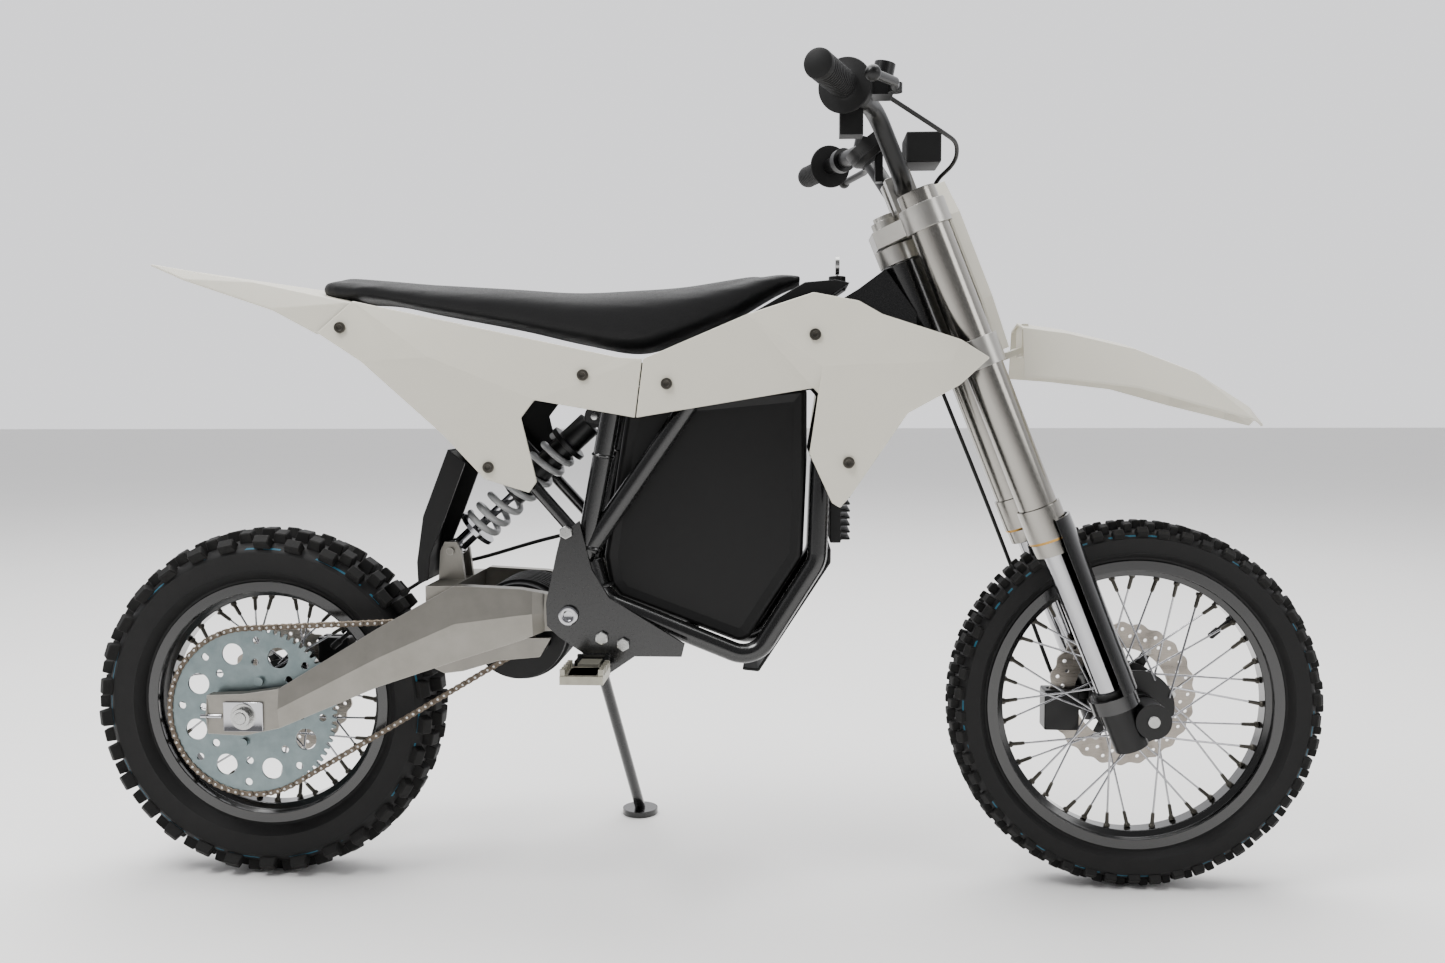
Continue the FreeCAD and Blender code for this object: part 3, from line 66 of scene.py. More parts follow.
class Body(Enum):
    """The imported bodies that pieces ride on."""

    FRAME = "frame"
    KEY = "key"
    STEERING = "steering"
    THROTTLE = "throttle"
    FRONT_LEVER = "front_lever"
    REAR_LEVER = "rear_lever"
    FORK_LOWER = "fork_lower"
    FRONT_WHEEL = "front_wheel"
    SWINGARM = "swingarm"
    REAR_WHEEL = "rear_wheel"
    MOTOR_ROTOR = "motor_rotor"
    SHOCK_UPPER = "shock_upper"
    SHOCK_LOWER = "shock_lower"
    STAND = "stand"
    PEG_RIGHT = "peg_right"
    PEG_LEFT = "peg_left"


class Grain(Enum):
    """How a surface was made, which gives the pattern of its grain."""

    SPECKLE = "fine speckle, as moulded or sprayed"
    PEBBLE = "rounded cells, as on grained vinyl or a casting"
    BRUSHED = "long scratches along X"
    TURNED = "scratches round the bike's cross axis"


# ------------------------------------------------------------------ materials
def linear(code: str) -> tuple[float, float, float, float]:
    """Turns an sRGB hex value to the linear colour that a shader wants.

    Args:
        code: Six hex digits after a hash.

    Returns:
        Red, green, blue and an alpha of one.
    """
    parts = [int(code[i:i + 2], 16) / 255 for i in (1, 3, 5)]
    red, green, blue = (p / 12.92 if p <= 0.04045 else ((p + 0.055) / 1.055) ** 2.4 for p in parts)
    return red, green, blue, 1.0


def put(tree: NodeTree, kind: str, inputs: dict[Any, Any], **settings: Any) -> Node:
    """Adds a node to a tree.

    Args:
        tree: The material's node tree.
        kind: The node's type.
        inputs: Each input by name or number; a socket is linked and any other value is set.
        **settings: The node's own properties.

    Returns:
        The new node.
    """
    made = tree.nodes.new(kind)
    for key, value in settings.items():
        setattr(made, key, value)
    for key, value in inputs.items():
        if isinstance(value, NodeSocket):
            tree.links.new(value, made.inputs[key])
        else:
            made.inputs[key].default_value = value
    return made


@dataclass(frozen=True)
class Finish:
    """A material: what it is, its colours and how its surface was made."""

    name: str
    colour: str
    tint: str
    metallic: float = 0.0
    roughness: float = 0.5
    spread: float = 0.08
    grain: Grain = Grain.SPECKLE
    grain_mm: float = 0.8
    depth_mm: float = 0.02
    mottle_mm: float = 60.0
    mottle: float = 0.5
    coat: float = 0.0
    sheen: float = 0.0
    gloss: float = 0.5
    # A lighter colour mixed in on rounded edges, and how wide those edges are: partly rubbed wear, partly a
    # painted highlight.
    edge_wear_and_highlight: str = ""
    edge_wear_and_highlight_mm: float = 0.8
    ring: tuple[str, float, float, float] | None = None
    ring_half: float = 0.0009
    made: ClassVar[dict[str, Material]] = {}

    def grain_socket(self, tree: NodeTree, place: NodeSocket) -> NodeSocket:
        """The grain's height.

        Args:
            tree: The material's node tree.
            place: Object coordinates in metres.

        Returns:
            A socket from 0 to 1.
        """
        fine = 1 / (self.grain_mm * MM)
        if self.grain is Grain.PEBBLE:
            cells = put(tree, "ShaderNodeTexVoronoi", {"Vector": place, "Scale": fine}, feature="SMOOTH_F1")
            return cells.outputs["Distance"]
        stretch = {Grain.SPECKLE: (1, 1, 1), Grain.BRUSHED: (0.03, 1, 1), Grain.TURNED: (0.25, 1, 0.25)}
        long = put(tree, "ShaderNodeMapping", {"Vector": place, "Scale": stretch[self.grain]})
        noise = put(tree, "ShaderNodeTexNoise", {"Vector": long.outputs[0], "Scale": fine, "Detail": 3.0})
        return noise.outputs["Fac"]

    def painted_ring(self, tree: NodeTree, place: NodeSocket,
                     colour: NodeSocket) -> NodeSocket:
        """A broken painted line round a wheel's axle, over the colour so far.

        Args:
            tree: The material's node tree.
            place: Object coordinates.
            colour: The colour under the line.

        Returns:
            The colour with the line on it.
        """
        code, centre_x, centre_z, radius = self.ring
        flat = put(tree, "ShaderNodeMapping", {"Vector": place, "Location": (-centre_x, 0, -centre_z),
                                               "Scale": (1, 0, 1)})
        reach = put(tree, "ShaderNodeVectorMath", {0: flat.outputs[0]}, operation="LENGTH")
        off = put(tree, "ShaderNodeMath", {0: reach.outputs["Value"], 1: radius, 2: self.ring_half},
                  operation="COMPARE")
        patches = put(tree, "ShaderNodeTexNoise", {"Vector": place, "Scale": 30.0, "Detail": 1.0})
        kept = put(tree, "ShaderNodeMath", {0: patches.outputs["Fac"], 1: 0.52}, operation="GREATER_THAN")
        share = put(tree, "ShaderNodeMath", {0: off.outputs[0], 1: kept.outputs[0]}, operation="MULTIPLY")
        mixed = put(tree, "ShaderNodeMix", {"Factor": share.outputs[0], "A": colour, "B": linear(code)},
                    data_type="RGBA")
        return mixed.outputs["Result"]

    def material(self) -> Material:
        """The material, made once."""
        if self.name in self.made:
            return self.made[self.name]
        material = bpy.data.materials.new(self.name)
        material.use_nodes = True
        tree = material.node_tree
        tree.nodes.clear()
        place = put(tree, "ShaderNodeTexCoord", {}).outputs["Object"]
        broad = put(tree, "ShaderNodeTexNoise",
                    {"Vector": place, "Scale": 1 / (self.mottle_mm * MM), "Detail": 4.0, "Roughness": 0.6})
        amount = put(tree, "ShaderNodeMapRange",
                     {"Value": broad.outputs["Fac"], "From Min": 0.3, "From Max": 0.7, "To Min": 0.0,
                      "To Max": self.mottle})
        colour = put(tree, "ShaderNodeMix", {"Factor": amount.outputs[0], "A": linear(self.colour),
                                             "B": linear(self.tint)}, data_type="RGBA").outputs["Result"]
        height = self.grain_socket(tree, place)
        if self.ring:
            colour = self.painted_ring(tree, place, colour)
        # Rounded edges are mixed in patches towards the lighter edge colour: partly rubbed wear, partly a
        # painted highlight.
        if self.edge_wear_and_highlight:
            rounded = put(tree, "ShaderNodeBevel", {"Radius": self.edge_wear_and_highlight_mm * MM}, samples=4)
            straight = put(tree, "ShaderNodeNewGeometry", {})
            match = put(tree, "ShaderNodeVectorMath", {0: rounded.outputs[0], 1: straight.outputs["Normal"]},
                        operation="DOT_PRODUCT")
            edge = put(tree, "ShaderNodeMapRange", {"Value": match.outputs["Value"], "From Min": 0.97,
                                                    "From Max": 0.80, "To Min": 0.0, "To Max": 0.8})
            broken = put(tree, "ShaderNodeMath", {0: edge.outputs[0], 1: broad.outputs["Fac"]},
                         operation="MULTIPLY")
            colour = put(tree, "ShaderNodeMix",
                         {"Factor": broken.outputs[0], "A": colour, "B": linear(self.edge_wear_and_highlight)},
                         data_type="RGBA").outputs["Result"]
        rough = put(tree, "ShaderNodeMapRange", {"Value": height, "From Min": 0.2, "From Max": 0.8,
                                                 "To Min": self.roughness - self.spread,
                                                 "To Max": self.roughness + self.spread})
        bump = put(tree, "ShaderNodeBump",
                   {"Height": height, "Distance": self.depth_mm * MM, "Strength": 1.0})
        shader = put(tree, "ShaderNodeBsdfPrincipled",
                     {"Base Color": colour, "Metallic": self.metallic, "Roughness": rough.outputs[0],
                      "Normal": bump.outputs[0], "Coat Weight": self.coat, "Coat Roughness": 0.12,
                      "Sheen Weight": self.sheen,
                      "Specular IOR Level": self.gloss})
        put(tree, "ShaderNodeOutputMaterial", {"Surface": shader.outputs[0]})
        self.made[self.name] = material
        return material


FRONT_AXLE = Vector(JOINTS["front_wheel_spin"]["pos_m"])
REAR_AXLE = Vector(JOINTS["rear_wheel_spin"]["pos_m"])
PIVOT = Vector(JOINTS["swingarm_travel"]["pos_m"])
MOTOR_AXIS = Vector(JOINTS["motor_spin"]["pos_m"])
FORK_UP = Vector(JOINTS["steering_turn"]["axis"])
FORK_AHEAD = Vector((FORK_UP.z, 0, -FORK_UP.x))
SHOCK_TOP = Vector(JOINTS["shock_swing"]["pos_m"])
SHOCK_WAY = -Vector(JOINTS["shock_stroke"]["axis"])
ACROSS = Vector((0, 1, 0))

# Injection-moulded ABS, left satin: an even warm white with a faint orange-peel.
WHITE_ABS = Finish("moulded_abs_warm_white", "#d3cfc1", "#cac6b8", roughness=0.4, spread=0.05, grain_mm=1.1,
                   depth_mm=0.012, mottle_mm=180, mottle=0.4)
# Grained vinyl over foam: small rounded cells and a dull sheen.
SEAT_VINYL = Finish("grained_seat_vinyl", "#0b0b0c", "#121213", gloss=0.3, roughness=0.56, spread=0.07,
                    grain=Grain.PEBBLE, grain_mm=1.6, depth_mm=0.12, mottle_mm=40, mottle=0.5, sheen=0.04)
# Powder-coated steel tube: deep gloss black.
FRAME_COAT = Finish("powder_coated_steel_gloss_black", "#060606", "#0a0a0a", gloss=0.45, roughness=0.24,
                    grain_mm=2.2, depth_mm=0.012, mottle_mm=90, coat=0.6, edge_wear_and_highlight="#242425", edge_wear_and_highlight_mm=0.5)
# Sheet-metal and glass-filled covers: matte black.
MATTE_BLACK = Finish("matte_black_cover", "#070707", "#0b0b0b", gloss=0.3, roughness=0.46, grain_mm=0.7,
                     depth_mm=0.03, mottle_mm=120, edge_wear_and_highlight="#1b1b1c")
BLACK_PLASTIC = Finish("moulded_nylon_black", "#090909", "#0e0e0e", gloss=0.3, roughness=0.5, grain_mm=0.6,
                       depth_mm=0.03, edge_wear_and_highlight="#202021")
# Bead-blasted cast alloy: grey, dull and slightly granular, brighter at its corners from a painted highlight
# that is partly rubbed wear.
BLASTED_ALLOY = Finish("bead_blasted_cast_aluminium", "#8f8c85", "#7c7973", metallic=0.95, roughness=0.4,
                       spread=0.1, grain_mm=0.6, depth_mm=0.025, mottle_mm=35, mottle=0.6, edge_wear_and_highlight="#dcdad4",
                       edge_wear_and_highlight_mm=1.6)
# Machined and blasted clamps: cleaner and brighter than the swingarm.
CLAMP_ALLOY = Finish("machined_clamp_aluminium", "#b5b3ae", "#a4a29c", metallic=0.98, roughness=0.33,
                     grain_mm=0.5, depth_mm=0.012, mottle_mm=25, edge_wear_and_highlight="#ececea", edge_wear_and_highlight_mm=1.0)
# Drawn and anodised fork tube: fine scratches round it.
FORK_ALLOY = Finish("brushed_anodised_fork_aluminium", "#9b9892", "#8e8b85", metallic=1.0, roughness=0.22,
                    spread=0.05, grain=Grain.TURNED, grain_mm=0.9, depth_mm=0.002, mottle_mm=120, mottle=0.3)
CHROME = Finish("hard_chromed_steel", "#b4b4b7", "#a8a8ab", metallic=1.0, roughness=0.09, spread=0.03,
                grain_mm=1.5, depth_mm=0.002, mottle=0.3)
GOLD_SEAL = Finish("gold_anodised_ring", "#b58d4c", "#9c7639", metallic=1.0, roughness=0.28, grain_mm=0.8,
                   depth_mm=0.004)
# Zinc-plated plate: blue-grey with a cloudy passivated bloom.
ZINC = Finish("zinc_plated_steel", "#717e80", "#838f90", metallic=0.9, roughness=0.4, spread=0.1,
              grain_mm=0.9, depth_mm=0.006, mottle_mm=16, mottle=0.8, edge_wear_and_highlight="#b4bcbc")
GROUND_STEEL = Finish("ground_disc_steel", "#a19a91", "#8b857d", metallic=1.0, roughness=0.3,
                      grain=Grain.BRUSHED, grain_mm=0.6, depth_mm=0.006, mottle_mm=30)
BOLT_STEEL = Finish("zinc_bolt_steel", "#b9b9b7", "#9a9a98", metallic=1.0, roughness=0.26, grain_mm=0.7,
                    depth_mm=0.006, mottle_mm=12, edge_wear_and_highlight="#e4e4e2")
DARK_SCREW = Finish("phosphated_screw_steel", "#4a4741", "#35332f", metallic=0.8, roughness=0.4, grain_mm=0.5,
                    depth_mm=0.01, edge_wear_and_highlight="#8b867b")
CHAIN_STEEL = Finish("oiled_chain_steel", "#544a40", "#6f665b", metallic=0.85, roughness=0.42, grain_mm=1.0,
                     depth_mm=0.02, mottle_mm=7, mottle=0.9, edge_wear_and_highlight="#a79c8d")
GLOSS_RIM = Finish("painted_rim_gloss_black", "#050505", "#080808", gloss=0.5, roughness=0.18,
                   grain_mm=2.5, depth_mm=0.01, coat=0.7)
SATIN_BLACK = Finish("satin_anodised_black", "#080808", "#0d0d0d", metallic=0.1, gloss=0.4, roughness=0.36,
                     grain_mm=0.6, depth_mm=0.01, edge_wear_and_highlight="#2c2c2d", edge_wear_and_highlight_mm=0.6)
PEG_STEEL = Finish("cast_peg_steel", "#a9a699", "#8a877b", metallic=0.85, roughness=0.42, grain_mm=0.8,
                   depth_mm=0.03, mottle_mm=10, edge_wear_and_highlight="#d6d3c8")
SPRING_COAT = Finish("powder_coated_spring_grey", "#a7a8a8", "#9a9b9b", roughness=0.34, grain_mm=1.4,
                     depth_mm=0.015, coat=0.35)
GRIP_RUBBER = Finish("moulded_grip_rubber", "#0a0a0a", "#0f0f0f", gloss=0.28, roughness=0.62, grain_mm=0.7,
                     depth_mm=0.05)
HOSE_RUBBER = Finish("hose_rubber", "#0b0b0b", "#14110f", gloss=0.35, roughness=0.5, grain_mm=0.9,
                     depth_mm=0.02)
KNOB_RUBBER = Finish("tread_block_rubber", "#0a0a0a", "#131210", gloss=0.3, roughness=0.7, grain_mm=1.2,
                     depth_mm=0.08, mottle_mm=9, mottle=0.8, edge_wear_and_highlight="#1f1d19", edge_wear_and_highlight_mm=1.4)
CELL_WRAP = Finish("shrink_wrapped_cells", "#1e3a63", "#24446f", roughness=0.35, grain_mm=1.5, depth_mm=0.02)
GAUGE_FACE = Finish("frosted_gauge_face", "#d9dcdc", "#c9cccd", roughness=0.28, grain_mm=1.0, depth_mm=0.002,
                    coat=0.8)
RED_WIRE = Finish("red_wire_pvc", "#b3211a", "#9a1a15", roughness=0.4, grain_mm=1.0, depth_mm=0.01)


def tyre_rubber(name: str, centre: Vector, line_radius: float) -> Finish:
    """Sidewall rubber with a faint blue mould line.

    Args:
        name: The wheel's end.
        centre: The axle.
        line_radius: Where the painted line runs.

    Returns:
        The finish.
    """
    return Finish(f"{name}_tyre_rubber", "#090909", "#100f0f", gloss=0.3, roughness=0.6, grain_mm=0.9,
                  depth_mm=0.04, mottle_mm=22, mottle=0.7, ring=("#1d5a70", centre.x, centre.z, line_radius))


# ------------------------------------------------------------------ modelling by hand
def deselect() -> None:
    """Leaves object mode with nothing selected."""
    if bpy.context.object and bpy.context.object.mode != "OBJECT":
        bpy.ops.object.mode_set(mode="OBJECT")
    bpy.ops.object.select_all(action="DESELECT")


def take(piece: Object) -> None:
    """Makes one piece the only selected and the active one."""
    deselect()
    piece.select_set(True)
    bpy.context.view_layer.objects.active = piece


@contextmanager
def editing(piece: Object, everything: bool = True) -> Iterator[None]:
    """Holds a piece in edit mode.

    Args:
        piece: The mesh object.
        everything: Selects all of it; otherwise what is selected stays so.

    Yields:
        Nothing, while the piece is in edit mode.
    """
    take(piece)
    bpy.ops.object.mode_set(mode="EDIT")
    if everything:
        bpy.ops.mesh.select_all(action="SELECT")
    yield
    bpy.ops.object.mode_set(mode="OBJECT")


def pick(piece: Object, wanted: Callable[[Vector, Vector], bool]) -> None:
    """Selects some faces, and nothing else.

    Args:
        piece: The mesh object.
        wanted: Says from a face's centre and normal whether it is picked.
    """
    bpy.context.tool_settings.mesh_select_mode = (False, False, True)
    mesh = piece.data
    mesh.vertices.foreach_set("select", [False] * len(mesh.vertices))
    mesh.edges.foreach_set("select", [False] * len(mesh.edges))
    mesh.polygons.foreach_set("select", [wanted(face.center, face.normal) for face in mesh.polygons])


def primitive(kind: str, name: str, **where: Any) -> Object:
    """Adds a primitive at its size and place.

    Args:
        kind: The operator's word, such as cube or cylinder.
        name: The new object's name.
        **where: The operator's own settings.

    Returns:
        The new object.
    """
    deselect()
    getattr(bpy.ops.mesh, f"primitive_{kind}_add")(**where)
    piece = bpy.context.active_object
    piece.name = piece.data.name = name
    return piece


def modify(piece: Object, kind: str, **settings: Any) -> Object:
    """Adds a modifier and applies it.

    Args:
        piece: The mesh object.
        kind: The modifier's type.
        **settings: Its own properties.

    Returns:
        The piece.
    """
    take(piece)
    modifier = piece.modifiers.new(kind.lower(), kind)
    for key, value in settings.items():
        setattr(modifier, key, value)
    bpy.ops.object.modifier_apply(modifier=modifier.name)
    return piece


def bevelled(piece: Object, width: float, segments: int = 2, angle: float = 30.0) -> Object:
    """Rounds a piece's sharp edges."""
    return modify(piece, "BEVEL", width=width, segments=segments, limit_method="ANGLE",
                  angle_limit=math.radians(angle), use_clamp_overlap=True, miter_outer="MITER_ARC")


def smooth(piece: Object, angle: float = 32.0) -> Object:
    """Shades a piece smooth but for its sharp edges."""
    take(piece)
    bpy.ops.object.shade_smooth_by_angle(angle=math.radians(angle))
    return piece


def settle(piece: Object) -> Object:
    """Puts a piece's place into its mesh."""
    take(piece)
    bpy.ops.object.transform_apply(location=True, rotation=True, scale=True)
    return piece


def facing(start: Vector, direction: Vector, roll: Vector | None = None) -> Matrix:
    """A matrix at start whose Z axis points along direction.

    Args:
        start: The origin.
        direction: Where local Z points.
        roll: Where local X points, as far as Z lets it.

    Returns:
        The matrix.
    """
    up = direction.normalized()
    if roll is None:
        turn = up.to_track_quat("Z", "Y").to_matrix().to_4x4()
        return Matrix.Translation(start) @ turn
    side = (roll - up * roll.dot(up)).normalized()
    basis = Matrix((side, up.cross(side), up)).transposed().to_4x4()
    return Matrix.Translation(start) @ basis


def copies(model: Object, places: Iterable[Matrix], name: str) -> Object:
    """One mesh made of copies of a piece that was modelled once.

    Args:
        model: The piece at the origin, which is used up.
        places: Where each copy goes.
        name: The new object's name.

    Returns:
        The new object.
    """
    built = bmesh.new()
    for place in places:
        mesh = model.data.copy()
        mesh.transform(place)
        built.from_mesh(mesh)
        bpy.data.meshes.remove(mesh)
    mesh = bpy.data.meshes.new(name)
    built.to_mesh(mesh)
    built.free()
    mesh.materials.clear()
    bpy.data.objects.remove(model)
    piece = bpy.data.objects.new(name, mesh)
    bpy.context.scene.collection.objects.link(piece)
    return piece


def joined(name: str, *parts: Object) -> Object:
    """Joins parts into one piece, with each part's own material kept.

    Args:
        name: The joined piece's name.
        *parts: The parts, which are used up.

    Returns:
        The joined piece.
    """
    take(parts[0])
    for part in parts[1:]:
        part.select_set(True)
    bpy.ops.object.join()
    parts[0].name = parts[0].data.name = name
    return parts[0]


def rod(name: str, start: Vector, end: Vector, radius: float, sides: int = 24, rim: float = 0.0) -> Object:
    """A round bar between two points, with its end rims bevelled.

    Args:
        name: The object's name.
        start: One end.
        end: The other end.
        radius: The bar's radius.
        sides: How many faces go round it.
        rim: The bevel's width.

    Returns:
        The bar.
    """
    run = end - start
    piece = primitive("cylinder", name, vertices=sides, radius=radius, depth=run.length)
    piece.data.transform(facing((start + end) / 2, run))
    if rim:
        bevelled(piece, rim, 2, 50)
    return smooth(piece)


def lathe(name: str, profile: Sequence[tuple[float, float]], place: Matrix, steps: int = 64) -> Object:
    """A turned piece.

    Args:
        name: The object's name.
        profile: A closed outline of (radius, height) points.
        place: Where the turned piece's own Z axis goes.
        steps: How many faces go round it.

    Returns:
        The piece.
    """
    piece = primitive("circle", name, vertices=len(profile), fill_type="NOTHING")
    for vertex, (radius, height) in zip(piece.data.vertices, profile):
        vertex.co = (radius, 0, height)
    with editing(piece):
        bpy.ops.mesh.spin(steps=steps, angle=TURN, center=(0, 0, 0), axis=(0, 0, 1))
        bpy.ops.mesh.select_all(action="SELECT")
        bpy.ops.mesh.remove_doubles(threshold=1e-6)
        bpy.ops.mesh.normals_make_consistent(inside=False)
    piece.data.transform(place)
    return smooth(piece)


def thicken(piece: Object, way: tuple[float, float, float]) -> None:
    """Extrudes a flat sheet into a closed plate whose faces point outwards.

    Args:
        piece: The flat sheet.
        way: The plate's wall as a move.
    """
    with editing(piece):
        bpy.ops.mesh.extrude_region_move(TRANSFORM_OT_translate={"value": way})
        bpy.ops.mesh.select_all(action="SELECT")
        bpy.ops.mesh.normals_make_consistent(inside=False)


def shaped_grid(name: str, rows: int, columns: int, spot: Callable[[float, float], Vector]) -> Object:
    """A sheet whose points are placed by a function.

    Args:
        name: The object's name.
        rows: Faces along the sheet.
        columns: Faces across it.
        spot: Gives a point for shares from 0 to 1 along and across.

    Returns:
        The sheet.
    """
    piece = primitive("grid", name, x_subdivisions=rows, y_subdivisions=columns, size=1)
    for vertex in piece.data.vertices:
        vertex.co = spot(vertex.co.x + 0.5, vertex.co.y + 0.5)
    return piece


def along(table: Sequence[Sequence[float]], share: float) -> list[float]:
    """Values read from rows of (place, value, value, ...) at a share of the way, by a smooth curve.

    Args:
        table: Rows in order of place.
        share: From 0 at the first row to 1 at the last.

    Returns:
        The place and the values there.
    """
    first, last = table[0][0], table[-1][0]
    here = first + share * (last - first)
    index = 0
    while index < len(table) - 2 and (here - table[index + 1][0]) * (last - first) > 0:
        index += 1
    a, b = table[index], table[index + 1]
    before = table[index - 1] if index else a
    after = table[index + 2] if index + 2 < len(table) else b
    t = (here - a[0]) / (b[0] - a[0])
    values = [here]
    for k in range(1, len(a)):
        span = b[0] - a[0]
        slope_a = (b[k] - before[k]) / (b[0] - before[0]) * span if before is not a else b[k] - a[k]
        slope_b = (after[k] - a[k]) / (after[0] - a[0]) * span if after is not b else b[k] - a[k]
        values.append((2 * t**3 - 3 * t**2 + 1) * a[k] + (t**3 - 2 * t**2 + t) * slope_a
                      + (3 * t**2 - 2 * t**3) * b[k] + (t**3 - t**2) * slope_b)
    return values


def tube(name: str, points: Sequence[Vector], radius: float) -> Object:
    """A round hose, wire or coil along a smooth line, as a mesh.

    Args:
        name: The object's name.
        points: The line's control points.
        radius: The tube's radius.

    Returns:
        The tube.
    """
    line = bpy.data.curves.new(name, "CURVE")
    line.dimensions = "3D"
    line.bevel_depth = radius
    line.bevel_resolution = 4
    line.use_fill_caps = True
    spline = line.splines.new("NURBS")
    spline.points.add(len(points) - 1)
    for target, point in zip(spline.points, points):
        target.co = (*point, 1)
    spline.order_u = 3
    spline.use_endpoint_u = True
    spline.resolution_u = 6
    piece = bpy.data.objects.new(name, line)
    bpy.context.scene.collection.objects.link(piece)
    take(piece)
    bpy.ops.object.convert(target="MESH")
    piece = bpy.context.active_object
    return smooth(piece)


def merged(node: str, name: str) -> Object:
    """A copy of a CAD node with its loose triangles merged into whole faces.

    Args:
        node: The CAD node.
        name: The copy's name.

    Returns:
        The copy.
    """
    mesh = frame["nodes"][node].data.copy()
    mesh.materials.clear()
    piece = bpy.data.objects.new(name, mesh)
    bpy.context.scene.collection.objects.link(piece)
    take(piece)
    bpy.ops.mesh.customdata_custom_splitnormals_clear()
    with editing(piece):
        bpy.ops.mesh.remove_doubles(threshold=2e-6)
        bpy.ops.mesh.dissolve_limited(angle_limit=math.radians(0.6))
    return piece


def evened(piece: Object, shade: float = 32.0) -> Object:
    """Shades a piece smooth with its flat faces kept flat to the eye."""
    return modify(smooth(piece, shade), "WEIGHTED_NORMAL", keep_sharp=True)


def softened(node: str, width: float, segments: int = 2, angle: float = 25.0,
             shade: float = 32.0) -> Object:
    """A copy of a CAD node with its loose triangles merged and its sharp edges rounded.

    Args:
        node: The CAD node that the copy will stand for.
        width: The rounding's width.
        segments: Faces across the rounding.
        angle: Edges sharper than this are rounded.
        shade: Edges sharper than this stay sharp in the shading.

    Returns:
        The copy.
    """
    return evened(bevelled(merged(node, f"{node}_skin"), width, segments, angle), shade)


def hand_in(piece: Object, body: Body, slot: str, finish: Finish | None, *nodes: str) -> Object:
    """Gives a finished piece its material and body, and hides the CAD nodes that it replaces.

    Args:
        piece: The finished piece.
        body: The body that it rides on.
        slot: Not used.
        finish: Its material, or None where its parts have theirs.
        *nodes: The CAD nodes that it replaces.

    Returns:
        The piece.
    """
    if finish:
        coloured(piece, finish)
    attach(piece, body.value)
    if nodes:
        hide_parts(*nodes)
    LOG.info("%s: %d faces on %s", piece.name, len(piece.data.polygons), body.value)
    return piece


@dataclass(frozen=True)
class Skin:
    """A CAD node that is shown by its softened copy."""

    node: str
    body: Body
    slot: str
    finish: Finish
    width: float
    segments: int = 2
    angle: float = 25.0
    shade: float = 32.0

    def hand_in(self) -> None:
        """Builds the copy, gives it its finish and body, and hides the CAD node."""
        piece = softened(self.node, self.width, self.segments, self.angle, self.shade)
        hand_in(piece, self.body, self.slot, self.finish, self.node)


def coloured(piece: Object, finish: Finish) -> Object:
    """Gives a part its material.

    Args:
        piece: The part.
        finish: What it is made of.

    Returns:
        The part.
    """
    piece.data.materials.clear()
    piece.data.materials.append(finish.material())
    return piece


def dress(finish: Finish, *nodes: str) -> None:
    """Gives carried-over CAD nodes a material.

    Args:
        finish: What they are made of.
        *nodes: Their names.
    """
    for node in nodes:
        held = frame["nodes"][node]
        if not held.material_slots:
            held.data.materials.append(None)
        for slot in held.material_slots:
            slot.link = "OBJECT"
            slot.material = finish.material()


def hex_bolt(name: str, radius: float, depth: float, socket: bool = True) -> Object:
    """A bolt head at the origin, standing on Z = 0: a hexagon, or a round head with a hexagon socket.

    Args:
        name: The object's name.
        radius: The head's radius.
        depth: The head's height.
        socket: Whether it is round and driven from inside.

    Returns:
        The head.
    """
    piece = primitive("cylinder", name, vertices=6 if not socket else 24, radius=radius, depth=depth,
                      location=(0, 0, depth / 2))
    settle(piece)
    pick(piece, lambda centre, normal: normal.z > 0.9)
    with editing(piece, everything=False):
        if socket:
            bpy.ops.mesh.inset(thickness=radius * 0.5, depth=0)
            bpy.ops.mesh.inset(thickness=0, depth=-depth * 0.5)
        else:
            bpy.ops.mesh.inset(thickness=radius * 0.12, depth=depth * 0.12)
    if socket:
        bevelled(piece, radius * 0.12, 2, 60)
    return smooth(piece, 40)


